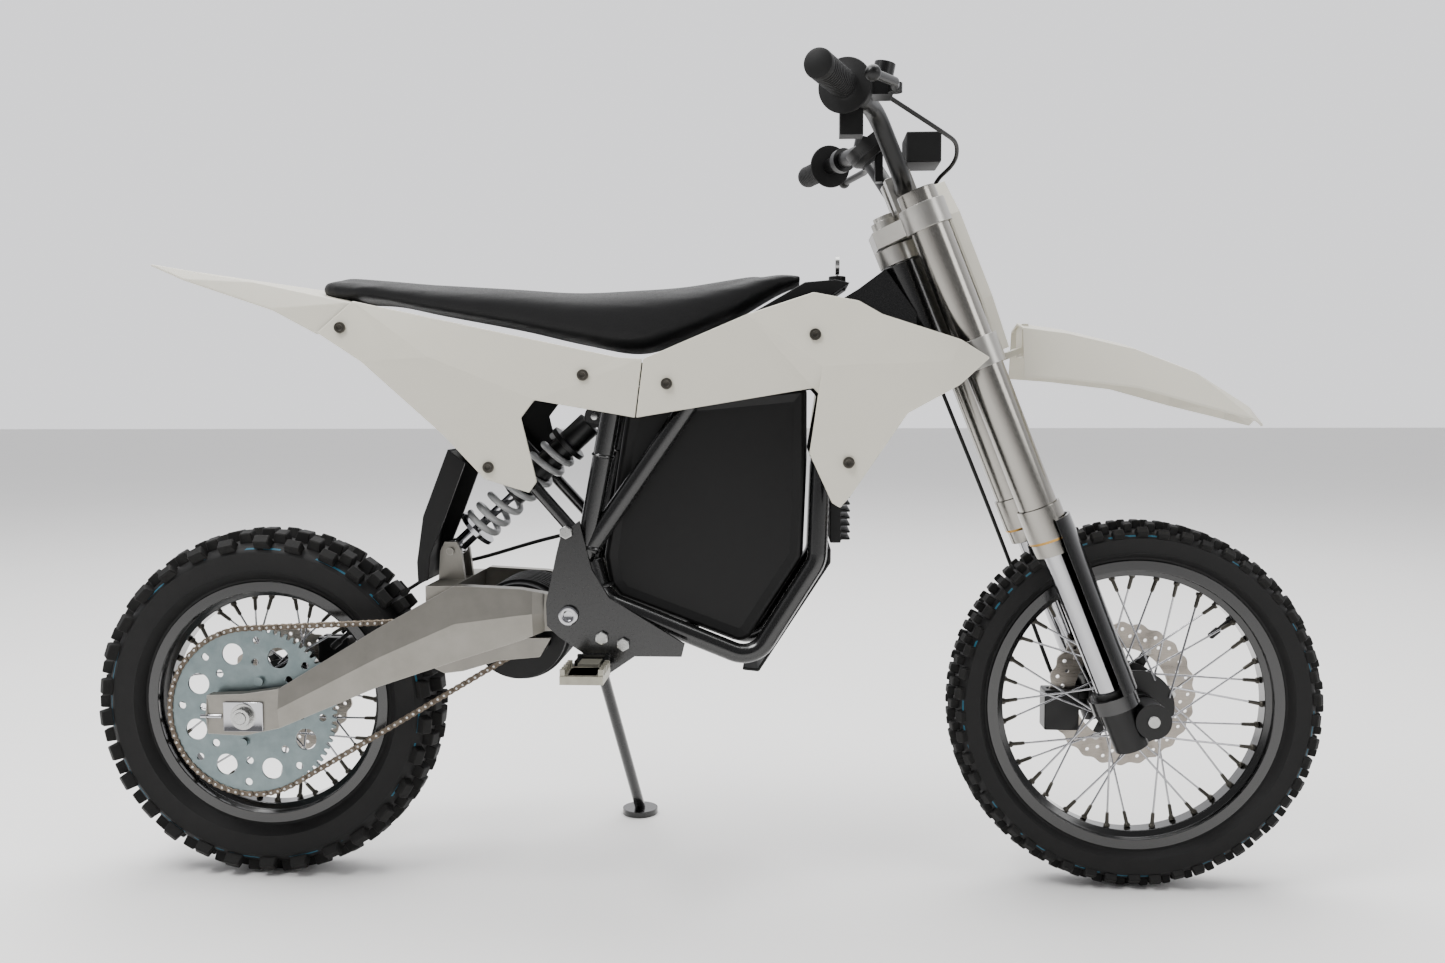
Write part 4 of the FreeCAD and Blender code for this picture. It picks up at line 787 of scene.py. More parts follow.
# ------------------------------------------------------------------ wheels
@dataclass
class Wheel:
    """A spoked wheel: knobbly tyre, rim, spokes with nipples, hub and wave disc."""

    end: str
    axle: Vector
    body: Body
    tread: float
    half: float
    lip: float
    rim_half: float
    spoke_count: int
    knob_rows: int
    knob_height: float
    disc_radius: float
    disc_y: float
    well_depth: float = 0.0225
    spoke_lean: float = math.radians(42)
    spoke_foot: float = 0.042
    valve_turn: float = 0.72
    disc_waves: int = 24
    disc_wall: float = 0.0035

    def place(self) -> Matrix:
        """The wheel's own frame, with its axle along Z."""
        return facing(self.axle, ACROSS)

    def spot(self, turn: float, y: float, radius: float, tilt: float = 0.0) -> Matrix:
        """A place on the wheel whose local Z points outwards.

        Args:
            turn: The angle round the axle.
            y: How far along the axle.
            radius: How far from the axle.
            tilt: How far Z leans to +Y.

        Returns:
            The matrix.
        """
        round_axle = Matrix.Translation(self.axle) @ Matrix.Rotation(turn, 4, "Y")
        return round_axle @ Matrix.Translation((0, y, radius)) @ Matrix.Rotation(-tilt, 4, "X")

    def knob(self, name: str, length: float, width: float, split: bool) -> Object:
        """One tread block that stands on Z = 0, tapered towards its top.

        Args:
            name: The object's name.
            length: Along the direction of roll.
            width: Across the tyre.
            split: Whether a sipe cuts it in two across its top.

        Returns:
            The block.
        """
        height = self.knob_height + 0.006
        block = primitive("cube", name, size=1, location=(0, 0, height / 2 - 0.006))
        block.scale = (length, width, height)
        settle(block)
        pick(block, lambda centre, normal: normal.z > 0.9)
        with editing(block, everything=False):
            bpy.ops.transform.resize(value=(0.82, 0.86, 1))
        if split:
            with editing(block):
                bpy.ops.mesh.bisect(plane_co=(0, 0, 0), plane_no=(1, 0, 0))
            with editing(block):
                bpy.ops.mesh.select_all(action="DESELECT")
            bpy.context.tool_settings.mesh_select_mode = (False, True, False)
            for edge in block.data.edges:
                ends = [block.data.vertices[i].co for i in edge.vertices]
                edge.select = all(abs(e.x) < 1e-6 and e.z > self.knob_height * 0.8 for e in ends)
            with editing(block, everything=False):
                bpy.ops.mesh.bevel(offset=0.0016, segments=2, profile=0.1)
        return bevelled(block, 0.0012, 1, 40)

    def tyre(self) -> None:
        """The carcass with its sidewall mouldings, and the tread blocks on it."""
        base, lip, half = self.tread - self.knob_height, self.lip, self.half
        rise = base - lip
        side = [(lip - 0.008, self.rim_half - 0.004), (lip + 0.003, self.rim_half - 0.001),
                (lip + 0.006, self.rim_half + 0.003), (lip + 0.22 * rise, half * 0.86),
                (lip + 0.26 * rise, half * 0.90), (lip + 0.29 * rise, half * 0.89),
                (lip + 0.5 * rise, half * 0.955), (lip + 0.68 * rise, half * 0.94),
                (lip + 0.71 * rise, half * 0.955), (lip + 0.76 * rise, half * 0.93),
                (lip + 0.9 * rise, half * 0.74), (lip + 0.98 * rise, half * 0.42), (base, 0.0)]
        profile = [(r, y) for r, y in side] + [(r, -y) for r, y in reversed(side[:-1])]
        profile += [(lip, -self.rim_half + 0.012), (base - 0.012, -half * 0.5), (base - 0.012, half * 0.5),
                    (lip, self.rim_half - 0.012)]
        carcass = lathe(f"{self.end}_tyre_carcass", profile, self.place(), 112)
        coloured(carcass, tyre_rubber(self.end, self.axle, lip + 0.8 * rise))
        pitch = TURN / self.knob_rows
        arc = pitch * self.tread
        rear = self.end == "rear"
        centre = self.knob("centre_knob", arc * 0.42, half * 0.62, not rear)
        middle = self.knob("middle_knob", arc * 0.40, half * 0.46, False)
        shoulder = self.knob("shoulder_knob", arc * (0.5 if rear else 0.56), half * 0.36, False)
        rows = range(self.knob_rows)
        blocks = [copies(centre, [self.spot(i * pitch, 0, base) for i in rows], "centre_row"),
                  copies(middle, [self.spot((i + 0.5) * pitch, s * half * 0.44, base - 0.0015, s * 0.26)
                                  for i in rows for s in (-1, 1)], "middle_rows"),
                  copies(shoulder, [self.spot((i + (0.0 if i % 2 else 0.06)) * pitch, s * half * 0.77,
                                              base - (0.0085 if i % 2 else 0.0065), s * 0.78)
                                    for i in rows for s in (-1, 1)], "shoulder_rows")]
        for block in blocks:
            coloured(smooth(block, 30), KNOB_RUBBER)
        hand_in(joined(f"{self.end}_tyre_tread", carcass, *blocks), self.body, "tyre_rubber", None,
                f"{self.end}_tyre")

    def rim(self) -> None:
        """The painted rim, its nipples and the valve."""
        Skin(f"{self.end}_rim", self.body, "rim_black", GLOSS_RIM, 0.0012, 3).hand_in()
        well = self.lip - self.well_depth
        nipple = lathe("nipple", [(0.0, 0.0), (0.0042, 0.0), (0.0042, 0.003), (0.0026, 0.005),
                                  (0.0024, 0.018), (0.0019, 0.020), (0.0, 0.020)], Matrix(), 10)
        places = []
        for i in range(self.spoke_count):
            side = 1 if i % 2 else -1
            lean = 1 if i // 2 % 2 else -1
            rim_way = TURN * i / self.spoke_count
            hub_way = rim_way - lean * self.spoke_lean
            foot = self.axle + Vector((self.spoke_foot * math.cos(hub_way), side * (0.0265 + lean * 0.0033),
                                       self.spoke_foot * math.sin(hub_way)))
            top = self.axle + Vector((well * math.cos(rim_way), side * 0.004, well * math.sin(rim_way)))
            places.append(facing(top, foot - top))
        hand_in(smooth(copies(nipple, places, f"{self.end}_nipples")), self.body, "spoke_steel", DARK_SCREW)
        dress(CHROME, f"{self.end}_spokes")
        stem = lathe("valve", [(0.0, 0.0), (0.0052, 0.0), (0.0052, 0.004), (0.003, 0.006), (0.003, 0.02),
                               (0.0045, 0.021), (0.0045, 0.034), (0.003, 0.036), (0.0, 0.036)], Matrix(), 16)
        valve_at = self.axle + Vector((well * math.cos(self.valve_turn), 0, well * math.sin(self.valve_turn)))
        stem.data.transform(facing(valve_at, self.axle - valve_at))
        stem.name = f"{self.end}_valve"
        hand_in(stem, self.body, "rim_black", BLACK_PLASTIC)

    def hub(self) -> None:
        """The hub and the wave disc with its carrier and buttons."""
        Skin(f"{self.end}_hub", self.body, "hub_black", SATIN_BLACK, 0.0008).hand_in()
        steps = self.disc_waves * 10
        blade = primitive("circle", f"{self.end}_wave_disc", vertices=steps, radius=self.disc_radius,
                          fill_type="NGON")
        for vertex in blade.data.vertices:
            turn = math.atan2(vertex.co.y, vertex.co.x)
            reach = self.disc_radius - 0.0018 * (1 - math.cos(self.disc_waves * turn))
            vertex.co = (reach * math.cos(turn), reach * math.sin(turn), 0)
        thicken(blade, (0, 0, self.disc_wall))
        drill = primitive("cylinder", "drill", vertices=14, radius=0.0026, depth=0.02)
        holes = [Matrix.Translation((r * math.cos(a), r * math.sin(a), 0))
                 for r, shift in ((self.disc_radius - 0.010, 0.0), (self.disc_radius - 0.019, 0.5))
                 for a in (TURN * (i + shift) / self.disc_waves for i in range(self.disc_waves))]
        drills = copies(drill, holes, "drills")
        middle = primitive("cylinder", "middle", vertices=96, radius=self.disc_radius * 0.64, depth=0.02)
        cutter = joined("cutter", drills, middle)
        modify(blade, "BOOLEAN", operation="DIFFERENCE", solver="EXACT", object=cutter)
        bpy.data.objects.remove(cutter)
        bevelled(blade, 0.0004, 1, 50)
        blade.data.transform(facing(self.axle + ACROSS * self.disc_y, ACROSS))
        hand_in(smooth(blade), self.body, "disc_steel", GROUND_STEEL, f"{self.end}_disc")
        reach = self.disc_radius * 0.68
        ring = lathe("carrier_ring", [(0.026, 0.0002), (0.046, 0.0002), (0.046, 0.0034), (0.026, 0.0034)],
                     Matrix(), 64)
        arm = primitive("cube", "carrier_arm", size=1, location=((0.040 + reach) / 2, 0, 0.0018))
        arm.scale = (reach - 0.040, 0.015, 0.003)
        settle(arm)
        pick(arm, lambda centre, normal: normal.x > 0.9)
        with editing(arm, everything=False):
            bpy.ops.transform.resize(value=(1, 0.75, 1))
        bevelled(arm, 0.0008, 2)
        arms = copies(arm, [Matrix.Rotation(TURN * i / 6, 4, "Z") for i in range(6)], "carrier_arms")
        button = lathe("button", [(0.0, -0.0006), (0.005, -0.0006), (0.005, 0.0038), (0.003, 0.0046),
                                  (0.0, 0.0046)], Matrix(), 18)
        buttons = copies(button, [Matrix.Rotation(TURN * i / 6, 4, "Z") @ Matrix.Translation((reach, 0, 0))
                                  for i in range(6)], "carrier_buttons")
        for part, finish in ((ring, SATIN_BLACK), (arms, SATIN_BLACK), (smooth(buttons), BOLT_STEEL)):
            coloured(part, finish)
        carrier = joined(f"{self.end}_disc_carrier", ring, smooth(arms), buttons)
        carrier.data.transform(facing(self.axle + ACROSS * self.disc_y, ACROSS))
        hand_in(carrier, self.body, "hub_black", None)

    def build(self) -> None:
        """Builds the whole wheel."""
        self.tyre()
        self.rim()
        self.hub()


# ------------------------------------------------------------------ drive
@dataclass
class ChainDrive:
    """The roller chain round the motor pinion and the rear sprocket."""

    pitch: float = 0.009525
    teeth: int = 72
    pinion_teeth: int = 14
    line: float = -0.072
    plate_wall: float = 0.0012
    waist: float = 0.72

    def loop(self) -> tuple[Callable[[float], Vector], float]:
        """The chain's closed pitch line.

        Returns:
            A function from a share of the loop to a point on it, and the loop's length.
        """
        big = self.pitch / 2 / math.sin(math.pi / self.teeth)
        small = self.pitch / 2 / math.sin(math.pi / self.pinion_teeth)
        between = MOTOR_AXIS - REAR_AXLE
        gap = math.hypot(between.x, between.z)
        way, wrap = math.atan2(between.z, between.x), math.acos((big - small) / gap)
        straight = math.sqrt(gap**2 - (big - small)**2)
        round_small, round_big = 2 * wrap * small, (TURN - 2 * wrap) * big
        length = 2 * straight + round_small + round_big

        def on(centre: Vector, radius: float, turn: float) -> Vector:
            """A point on a sprocket's pitch circle, from its centre, radius and angle."""
            return Vector((centre.x + radius * math.cos(turn), self.line, centre.z + radius * math.sin(turn)))

        def at(share: float) -> Vector:
            """A point on the loop.

            Args:
                share: How far round it, from 0 to 1.

            Returns:
                The point.
            """
            run = share % 1 * length
            if run < straight:
                return on(REAR_AXLE, big, way + wrap).lerp(on(MOTOR_AXIS, small, way + wrap), run / straight)
            run -= straight
            if run < round_small:
                return on(MOTOR_AXIS, small, way + wrap - run / small)
            run -= round_small
            if run < straight:
                return on(MOTOR_AXIS, small, way - wrap).lerp(on(REAR_AXLE, big, way - wrap), run / straight)
            return on(REAR_AXLE, big, way - wrap - (run - straight) / big)

        return at, length

    def side_plate(self, name: str) -> Object:
        """One waisted side plate in the XY plane, from pin to pin.

        Args:
            name: The object's name.

        Returns:
            The plate.
        """
        plate = primitive("circle", name, vertices=16, radius=1, fill_type="NGON")
        for i, vertex in enumerate(plate.data.vertices):
            turn = TURN * i / 16
            x, y = 0.0041 * math.cos(turn), 0.0041 * math.sin(turn)
            middle = abs(math.cos(turn)) < 0.2
            reach = 0 if middle else math.copysign(self.pitch / 2, x)
            vertex.co = (x + reach, y * (self.waist if middle else 1), 0)
        thicken(plate, (0, 0, self.plate_wall))
        return bevelled(plate, 0.0003, 1, 50)

    def chain(self) -> None:
        """All the links: outer and inner plates in turn, with pins and rollers."""
        at, length = self.loop()
        count = 2 * round(length / self.pitch / 2)
        outer, inner, pins = [], [], []
        for i in range(count):
            a, b = at(i / count), at((i + 1) / count)
            middle = facing((a + b) / 2, ACROSS, roll=b - a)
            for side in (-1, 1):
                offset = (0.0030 if i % 2 else 0.0017) * side - 0.0006
                (outer if i % 2 else inner).append(middle @ Matrix.Translation((0, 0, offset)))
            pins.append(facing(a, ACROSS, roll=b - a))
        plates = [copies(self.side_plate("outer_plate"), outer, "outer_plates"),
                  copies(self.side_plate("inner_plate"), inner, "inner_plates")]
        pin = lathe("pin", [(0.0, -0.0046), (0.0014, -0.0046), (0.0017, -0.0042), (0.0017, 0.0042),
                            (0.0014, 0.0046), (0.0, 0.0046)], Matrix(), 8)
        roller = primitive("cylinder", "roller", vertices=10, radius=0.003, depth=0.0028)
        bevelled(roller, 0.0003, 1, 50)
        pin_set, roller_set = copies(pin, pins, "chain_pins"), copies(roller, pins, "chain_rollers")
        for part, finish in ((plates[0], CHAIN_STEEL), (plates[1], CHAIN_STEEL), (pin_set, BOLT_STEEL),
                             (roller_set, CHAIN_STEEL)):
            coloured(smooth(part), finish)
        hand_in(joined("roller_chain", *plates, pin_set, roller_set), Body.SWINGARM, "chain_steel", None,
                "drive_chain")

    def build(self) -> None:
        """The chain, both sprockets and the motor."""
        self.chain()
        Skin("rear_sprocket", Body.REAR_WHEEL, "sprocket_zinc", ZINC, 0.0005).hand_in()
        Skin("motor_sprocket", Body.MOTOR_ROTOR, "sprocket_zinc", DARK_SCREW, 0.0004).hand_in()
        Skin("drive_motor", Body.SWINGARM, "hub_black", MATTE_BLACK, 0.0009).hand_in()


# ------------------------------------------------------------------ rear suspension
@dataclass
class RearArm:
    """The cast swingarm with its creased outer faces, axle adjusters and rear brake."""

    crease: float = 0.0045
    crease_from: float = 0.0845
    outer: float = 0.098

    def arm(self) -> None:
        """The swingarm, with a crease along the middle of each outer face."""
        piece = merged("swingarm", "swingarm_casting")
        bpy.context.tool_settings.mesh_select_mode = (False, True, False)
        deselect()
        mesh = piece.data
        mesh.vertices.foreach_set("select", [False] * len(mesh.vertices))
        mesh.polygons.foreach_set("select", [False] * len(mesh.polygons))
        for edge in mesh.edges:
            a, b = (mesh.vertices[i].co for i in edge.vertices)
            edge.select = (min(abs(a.y), abs(b.y)) > self.crease_from and abs(a.x - b.x) < 0.004
                           and abs(a.z - b.z) > 0.03 and abs(a.y - b.y) < 0.002)
        before = {tuple(round(c, 5) for c in vertex.co) for vertex in mesh.vertices}
        with editing(piece, everything=False):
            bpy.ops.mesh.subdivide(number_cuts=1)
        for vertex in piece.data.vertices:
            if tuple(round(c, 5) for c in vertex.co) not in before:
                vertex.co.y += math.copysign(self.crease, vertex.co.y)
        evened(bevelled(piece, 0.0024, 3, 6))
        hand_in(piece, Body.SWINGARM, "swingarm_alloy", BLASTED_ALLOY, "swingarm")

    def adjusters(self) -> None:
        """The axle with its nuts, and an adjuster plate with its bolt on each arm."""
        Skin("rear_axle", Body.SWINGARM, "axle_clamp_black", BOLT_STEEL, 0.0008).hand_in()
        plates = []
        for side in (-1, 1):
            plate = primitive("cube", f"adjuster_{side}", size=1)
            plate.scale = (0.052, 0.0028, 0.034)
            settle(plate)
            pick(plate, lambda centre, normal: abs(normal.z) > 0.9)
            with editing(plate, everything=False):
                bpy.ops.mesh.extrude_region_move(TRANSFORM_OT_translate={"value": (0, 0, 0)})
                bpy.ops.transform.resize(value=(0.96, 1.7, 1.12))
            bevelled(plate, 0.0011, 3)
            plate.data.transform(Matrix.Translation(REAR_AXLE + ACROSS * side * (self.outer + 0.0012)))
            plates.append(smooth(plate))
            lug = rod(f"adjuster_bolt_{side}", REAR_AXLE + Vector((-0.028, side * 0.0985, 0)),
                      REAR_AXLE + Vector((-0.056, side * 0.0985, 0)), 0.003, 16, 0.0006)
            plates.append(lug)
        hand_in(joined("axle_adjusters", *plates), Body.SWINGARM, "bolt_steel", CHROME)

    def brake(self) -> None:
        """The rear caliper with its two bolts, and its hose."""
        Skin("rear_caliper", Body.SWINGARM, "caliper_black", SATIN_BLACK, 0.0022, 3).hand_in()
        low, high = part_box("rear_caliper")
        bolts = [hex_bolt(f"rear_caliper_bolt_{i}", 0.005, 0.004) for i in range(2)]
        for i, bolt in enumerate(bolts):
            bolt.data.transform(facing(Vector((low.x + 0.012 + i * (high.x - low.x - 0.024), high.y - 0.0006,
                                               (low.z + high.z) / 2)), ACROSS))
        hand_in(joined("rear_caliper_bolts", *bolts), Body.SWINGARM, "bolt_steel", BOLT_STEEL)
        dress(HOSE_RUBBER, "rear_brake_hose")

    def build(self) -> None:
        """Builds the rear suspension arm."""
        self.arm()
        self.adjusters()
        self.brake()


@dataclass
class RearShock:
    """The damper and its coil spring."""

    coil_radius: float = 0.0215
    wire: float = 0.0045
    turns: float = 7.0
    low_eye: Vector = field(default_factory=lambda: Vector((-0.321, 0, 0.438)))

    def build(self) -> None:
        """Builds the coil, closer wound at its ends, and the damper's body and shaft."""
        along_way = SHOCK_WAY.normalized()
        top, bottom = 0.0573 + self.wire, (self.low_eye - SHOCK_TOP).length - 0.044 - self.wire
        side = ACROSS.cross(along_way).normalized()
        points, steps = [], int(self.turns * 16)
        for i in range(steps + 1):
            share = i / steps
            eased = share - 0.045 * math.sin(TURN * share)
            turn = TURN * self.turns * share
            centre = SHOCK_TOP + along_way * (top + (bottom - top) * eased)
            points.append(centre + (side * math.cos(turn) + ACROSS * math.sin(turn)) * self.coil_radius)
        coil = tube("shock_coil", points, self.wire)
        hand_in(coil, Body.SHOCK_LOWER, "spring_grey", SPRING_COAT, "shock_spring")
        Skin("shock_body", Body.SHOCK_UPPER, "shock_black", SATIN_BLACK, 0.001).hand_in()
        Skin("shock_shaft", Body.SHOCK_LOWER, "shock_black", CHROME, 0.0006).hand_in()


# ------------------------------------------------------------------ frame and bodywork
@dataclass
class MainFrame:
    """The welded tube frame with its plates, bolts, battery box and controller."""

    bead: float = 0.0028
    cover_half: float = 0.0585
    plate_face: float = 0.0935
    shock_bolt_half: float = 0.028
    weld_spots: tuple[tuple[float, float, float, float, float, float], ...] = (
        (-0.110, 0.0745, 0.566, 0.19, 0, 1), (-0.125, 0.0745, 0.450, 0.19, 0, 1),
        (0.178, 0.040, 0.690, 1, -0.16, 0.25), (0.165, 0.056, 0.556, 0.5, -0.2, 0.9),
        (-0.112, 0.0745, 0.402, -0.1, 0, 1), (0.010, 0.0745, 0.652, 1, -0.1, 0.15))
    cover: tuple[tuple[float, float], ...] = (
        (-0.112, 0.437), (-0.106, 0.400), (-0.092, 0.383), (0.060, 0.326), (0.074, 0.331), (0.142, 0.436),
        (0.147, 0.560), (0.147, 0.652), (0.020, 0.640), (-0.080, 0.634), (-0.086, 0.600))

    def beads(self) -> None:
        """Ripple-welded collars where the tubes meet their plates."""
        bead = lathe("bead", [(0.0118, -self.bead), (0.0140, -self.bead * 0.5), (0.0146, 0.0),
                              (0.0140, self.bead * 0.5), (0.0118, self.bead)], Matrix(), 40)
        for vertex in bead.data.vertices:
            turn = math.atan2(vertex.co.y, vertex.co.x)
            vertex.co.z += 0.0006 * math.sin(turn * 20)
        places = []
        for x, y, z, dx, dy, dz in self.weld_spots:
            for side in (-1, 1):
                places.append(facing(Vector((x, y * side, z)), Vector((dx, dy * side, dz))))
        hand_in(smooth(copies(bead, places, "frame_weld_beads")), Body.FRAME, "frame_black", FRAME_COAT)

    def screws(self) -> None:
        """Socket screws in the panels and frame bolts in the pivot plates."""
        spots = [(-0.442, 0.0805, 0.728), (-0.132, 0.0908, 0.667), (-0.252, 0.0922, 0.552),
                 (0.156, 0.1054, 0.715), (-0.027, 0.0944, 0.656), (0.197, 0.1096, 0.559)]
        head = hex_bolt("panel_screw", 0.0072, 0.0035)
        places = [facing(Vector((x, side * (y - 0.0005), z)), ACROSS * side) for x, y, z in spots
                  for side in (-1, 1)]
        hand_in(smooth(copies(head, places, "panel_screws")), Body.FRAME, "bolt_steel", DARK_SCREW,
                "bolts_and_screws")
        bolt = hex_bolt("frame_bolt", 0.0085, 0.0055, socket=False)
        places = [facing(Vector((x, side * self.plate_face, z)), ACROSS * side) for x, z in
                  ((-0.154, 0.471), (-0.110, 0.338), (-0.083, 0.330)) for side in (-1, 1)]
        hand_in(smooth(copies(bolt, places, "frame_bolts")), Body.FRAME, "bolt_steel", BOLT_STEEL)
        big = hex_bolt("pivot_bolt", 0.0125, 0.006)
        places = [facing(PIVOT + ACROSS * side * self.plate_face, ACROSS * side) for side in (-1, 1)]
        hand_in(smooth(copies(big, places, "pivot_bolt_heads")), Body.FRAME, "bolt_steel", CHROME)
        pivot_reach, shock_reach = ACROSS * self.plate_face, ACROSS * self.shock_bolt_half
        shafts = [rod("pivot_shaft", PIVOT - pivot_reach, PIVOT + pivot_reach, 0.008, 24, 0.001),
                  rod("shock_shaft_bolt", SHOCK_TOP - shock_reach, SHOCK_TOP + shock_reach, 0.005, 20, 0.001)]
        hand_in(joined("through_bolts", *shafts), Body.FRAME, "bolt_steel", BOLT_STEEL)

    def battery_cover(self) -> None:
        """The battery's black cover, which fills the space between the tubes."""
        count = len(self.cover)
        cover = primitive("circle", "battery_cover", vertices=count, fill_type="NGON")
        for vertex, (x, z) in zip(cover.data.vertices, self.cover):
            vertex.co = (x, -self.cover_half, z)
        thicken(cover, (0, 2 * self.cover_half, 0))
        bevelled(cover, 0.007, 3, 30)
        pick(cover, lambda centre, normal: abs(normal.y) > 0.98)
        with editing(cover, everything=False):
            bpy.ops.mesh.inset(thickness=0.010, depth=-0.0025)
        bevelled(cover, 0.0016, 2, 8)
        evened(cover, 40)
        hand_in(cover, Body.FRAME, "battery_black", MATTE_BLACK, "battery_case")

    def wire(self) -> None:
        """The motor's red lead, where it shows under the pivot plate."""
        points = [Vector(point) for point in ((-0.168, -0.066, 0.345), (-0.158, -0.080, 0.331),
                                              (-0.140, -0.082, 0.324), (-0.118, -0.080, 0.325),
                                              (-0.104, -0.070, 0.330))]
        hand_in(tube("red_motor_lead", points, 0.0016), Body.FRAME, "hose_rubber", RED_WIRE)

    def build(self) -> None:
        """Builds the frame."""
        self.wire()
        dress(FRAME_COAT, "main_frame", "head_tube", "subframe")
        dress(CELL_WRAP, "battery_pack")
        self.beads()
        self.screws()
        Skin("pivot_plates", Body.FRAME, "frame_black", FRAME_COAT, 0.0012).hand_in()
        self.battery_cover()
        Skin("motor_controller", Body.FRAME, "battery_black", BLACK_PLASTIC, 0.0015).hand_in()
        Skin("skid_plate", Body.FRAME, "battery_black", MATTE_BLACK, 0.0015).hand_in()


@dataclass
class Seat:
    """The foam seat under a grained cover."""

    voxel: float = 0.0055
    pressure: float = 4.0
    frames: int = 20
    swell: float = 0.0035
    squareness: float = 0.42
    shoulder: float = 0.10
    rows: tuple[tuple[float, float, float, float], ...] = (
        (-0.478, 0.788, 0.770, 0.050), (-0.460, 0.792, 0.766, 0.062), (-0.400, 0.788, 0.762, 0.068),
        (-0.342, 0.783, 0.750, 0.070), (-0.228, 0.776, 0.728, 0.070), (-0.146, 0.771, 0.709, 0.070),
        (-0.070, 0.774, 0.697, 0.068), (-0.010, 0.778, 0.714, 0.064), (0.050, 0.787, 0.740, 0.058),
        (0.110, 0.796, 0.774, 0.050), (0.138, 0.794, 0.786, 0.044))

    def section(self, share: float, turn: float) -> Vector:
        """A point of the seat's skin.

        Args:
            share: From the tail, 0, to the nose, 1.
            turn: Round the section, from 0 to 1.

        Returns:
            The point.
        """
        x, top, low, half = along(self.rows, share)
        middle, tall = (top + low) / 2, (top - low) / 2
        angle = TURN * turn
        y, z = math.cos(angle), math.sin(angle)
        square_y = math.copysign(abs(y) ** self.squareness, y)
        square_z = math.copysign(abs(z) ** self.squareness, z)
        flare = 1 - self.shoulder * max(0.0, z)
        return Vector((x, half * square_y * flare,
                       middle + tall * square_z * (1 - self.shoulder * abs(y) * (z > 0))))

    def build(self) -> None:
        """Builds the cushion, closed at both ends and swollen by its foam."""
        piece = shaped_grid("seat_pad", 56, 64, self.section)
        with editing(piece):
            bpy.ops.mesh.remove_doubles(threshold=1e-5)
        bpy.context.tool_settings.mesh_select_mode = (False, True, False)
        with editing(piece):
            bpy.ops.mesh.select_all(action="DESELECT")
            bpy.ops.mesh.select_non_manifold()
            bpy.ops.mesh.fill_holes(sides=0)
            bpy.ops.mesh.select_all(action="SELECT")
            bpy.ops.mesh.normals_make_consistent(inside=False)
        self.fill_with_foam(piece)
        smooth(piece, 60)
        hand_in(piece, Body.FRAME, "seat_cover", SEAT_VINYL, "seat_cushion")

    def fill_with_foam(self, piece: Object) -> None:
        """Lets air pressure crown the pad, within a few millimetres of where it was.

        Args:
            piece: The closed pad.
        """
        modify(piece, "REMESH", mode="VOXEL", voxel_size=self.voxel, adaptivity=0.0)
        rest = [vertex.co.copy() for vertex in piece.data.vertices]
        take(piece)
        cloth = piece.modifiers.new("cloth", "CLOTH")
        cloth.settings.use_pressure = True
        cloth.settings.uniform_pressure_force = self.pressure
        cloth.settings.effector_weights.gravity = 0.0
        cloth.settings.quality = 4
        cloth.point_cache.frame_start = 1
        cloth.point_cache.frame_end = self.frames
        for step in range(1, self.frames + 1):
            bpy.context.scene.frame_set(step)
        bpy.ops.object.modifier_apply(modifier=cloth.name)
        bpy.context.scene.frame_set(1)
        for vertex, start in zip(piece.data.vertices, rest):
            moved = vertex.co - start
            if moved.length > self.swell:
                vertex.co = start + moved.normalized() * self.swell
            if vertex.co.z < start.z:
                vertex.co.z = start.z
        modify(piece, "SUBSURF", levels=1, render_levels=1)


@dataclass
class Bodywork:
    """The moulded panels, mudguards, number plate and console."""

    inner_face: float = -0.03

    def build(self) -> None:
        """Builds the bodywork."""
        for node in ("side_panels", "shrouds", "rear_fender"):
            panel = softened(node, 0.0014, 3, 8, 20)
            coloured(panel, WHITE_ABS)
            if node != "rear_fender":
                panel.data.materials.append(BLACK_PLASTIC.material())
                for face in panel.data.polygons:
                    outwards = face.normal.y * face.center.y
                    face.material_index = int(outwards < self.inner_face * abs(face.center.y))
            hand_in(panel, Body.FRAME, "panel_white", None, node)
        Skin("number_plate", Body.STEERING, "panel_white", WHITE_ABS, 0.003, 3, 12, 24).hand_in()
        Skin("front_fender", Body.STEERING, "panel_white", WHITE_ABS, 0.0014, 2, 8, 30).hand_in()
        Skin("console_cover", Body.FRAME, "battery_black", BLACK_PLASTIC, 0.002, 3).hand_in()
        Skin("inner_mudguard", Body.FRAME, "battery_black", BLACK_PLASTIC, 0.0012).hand_in()


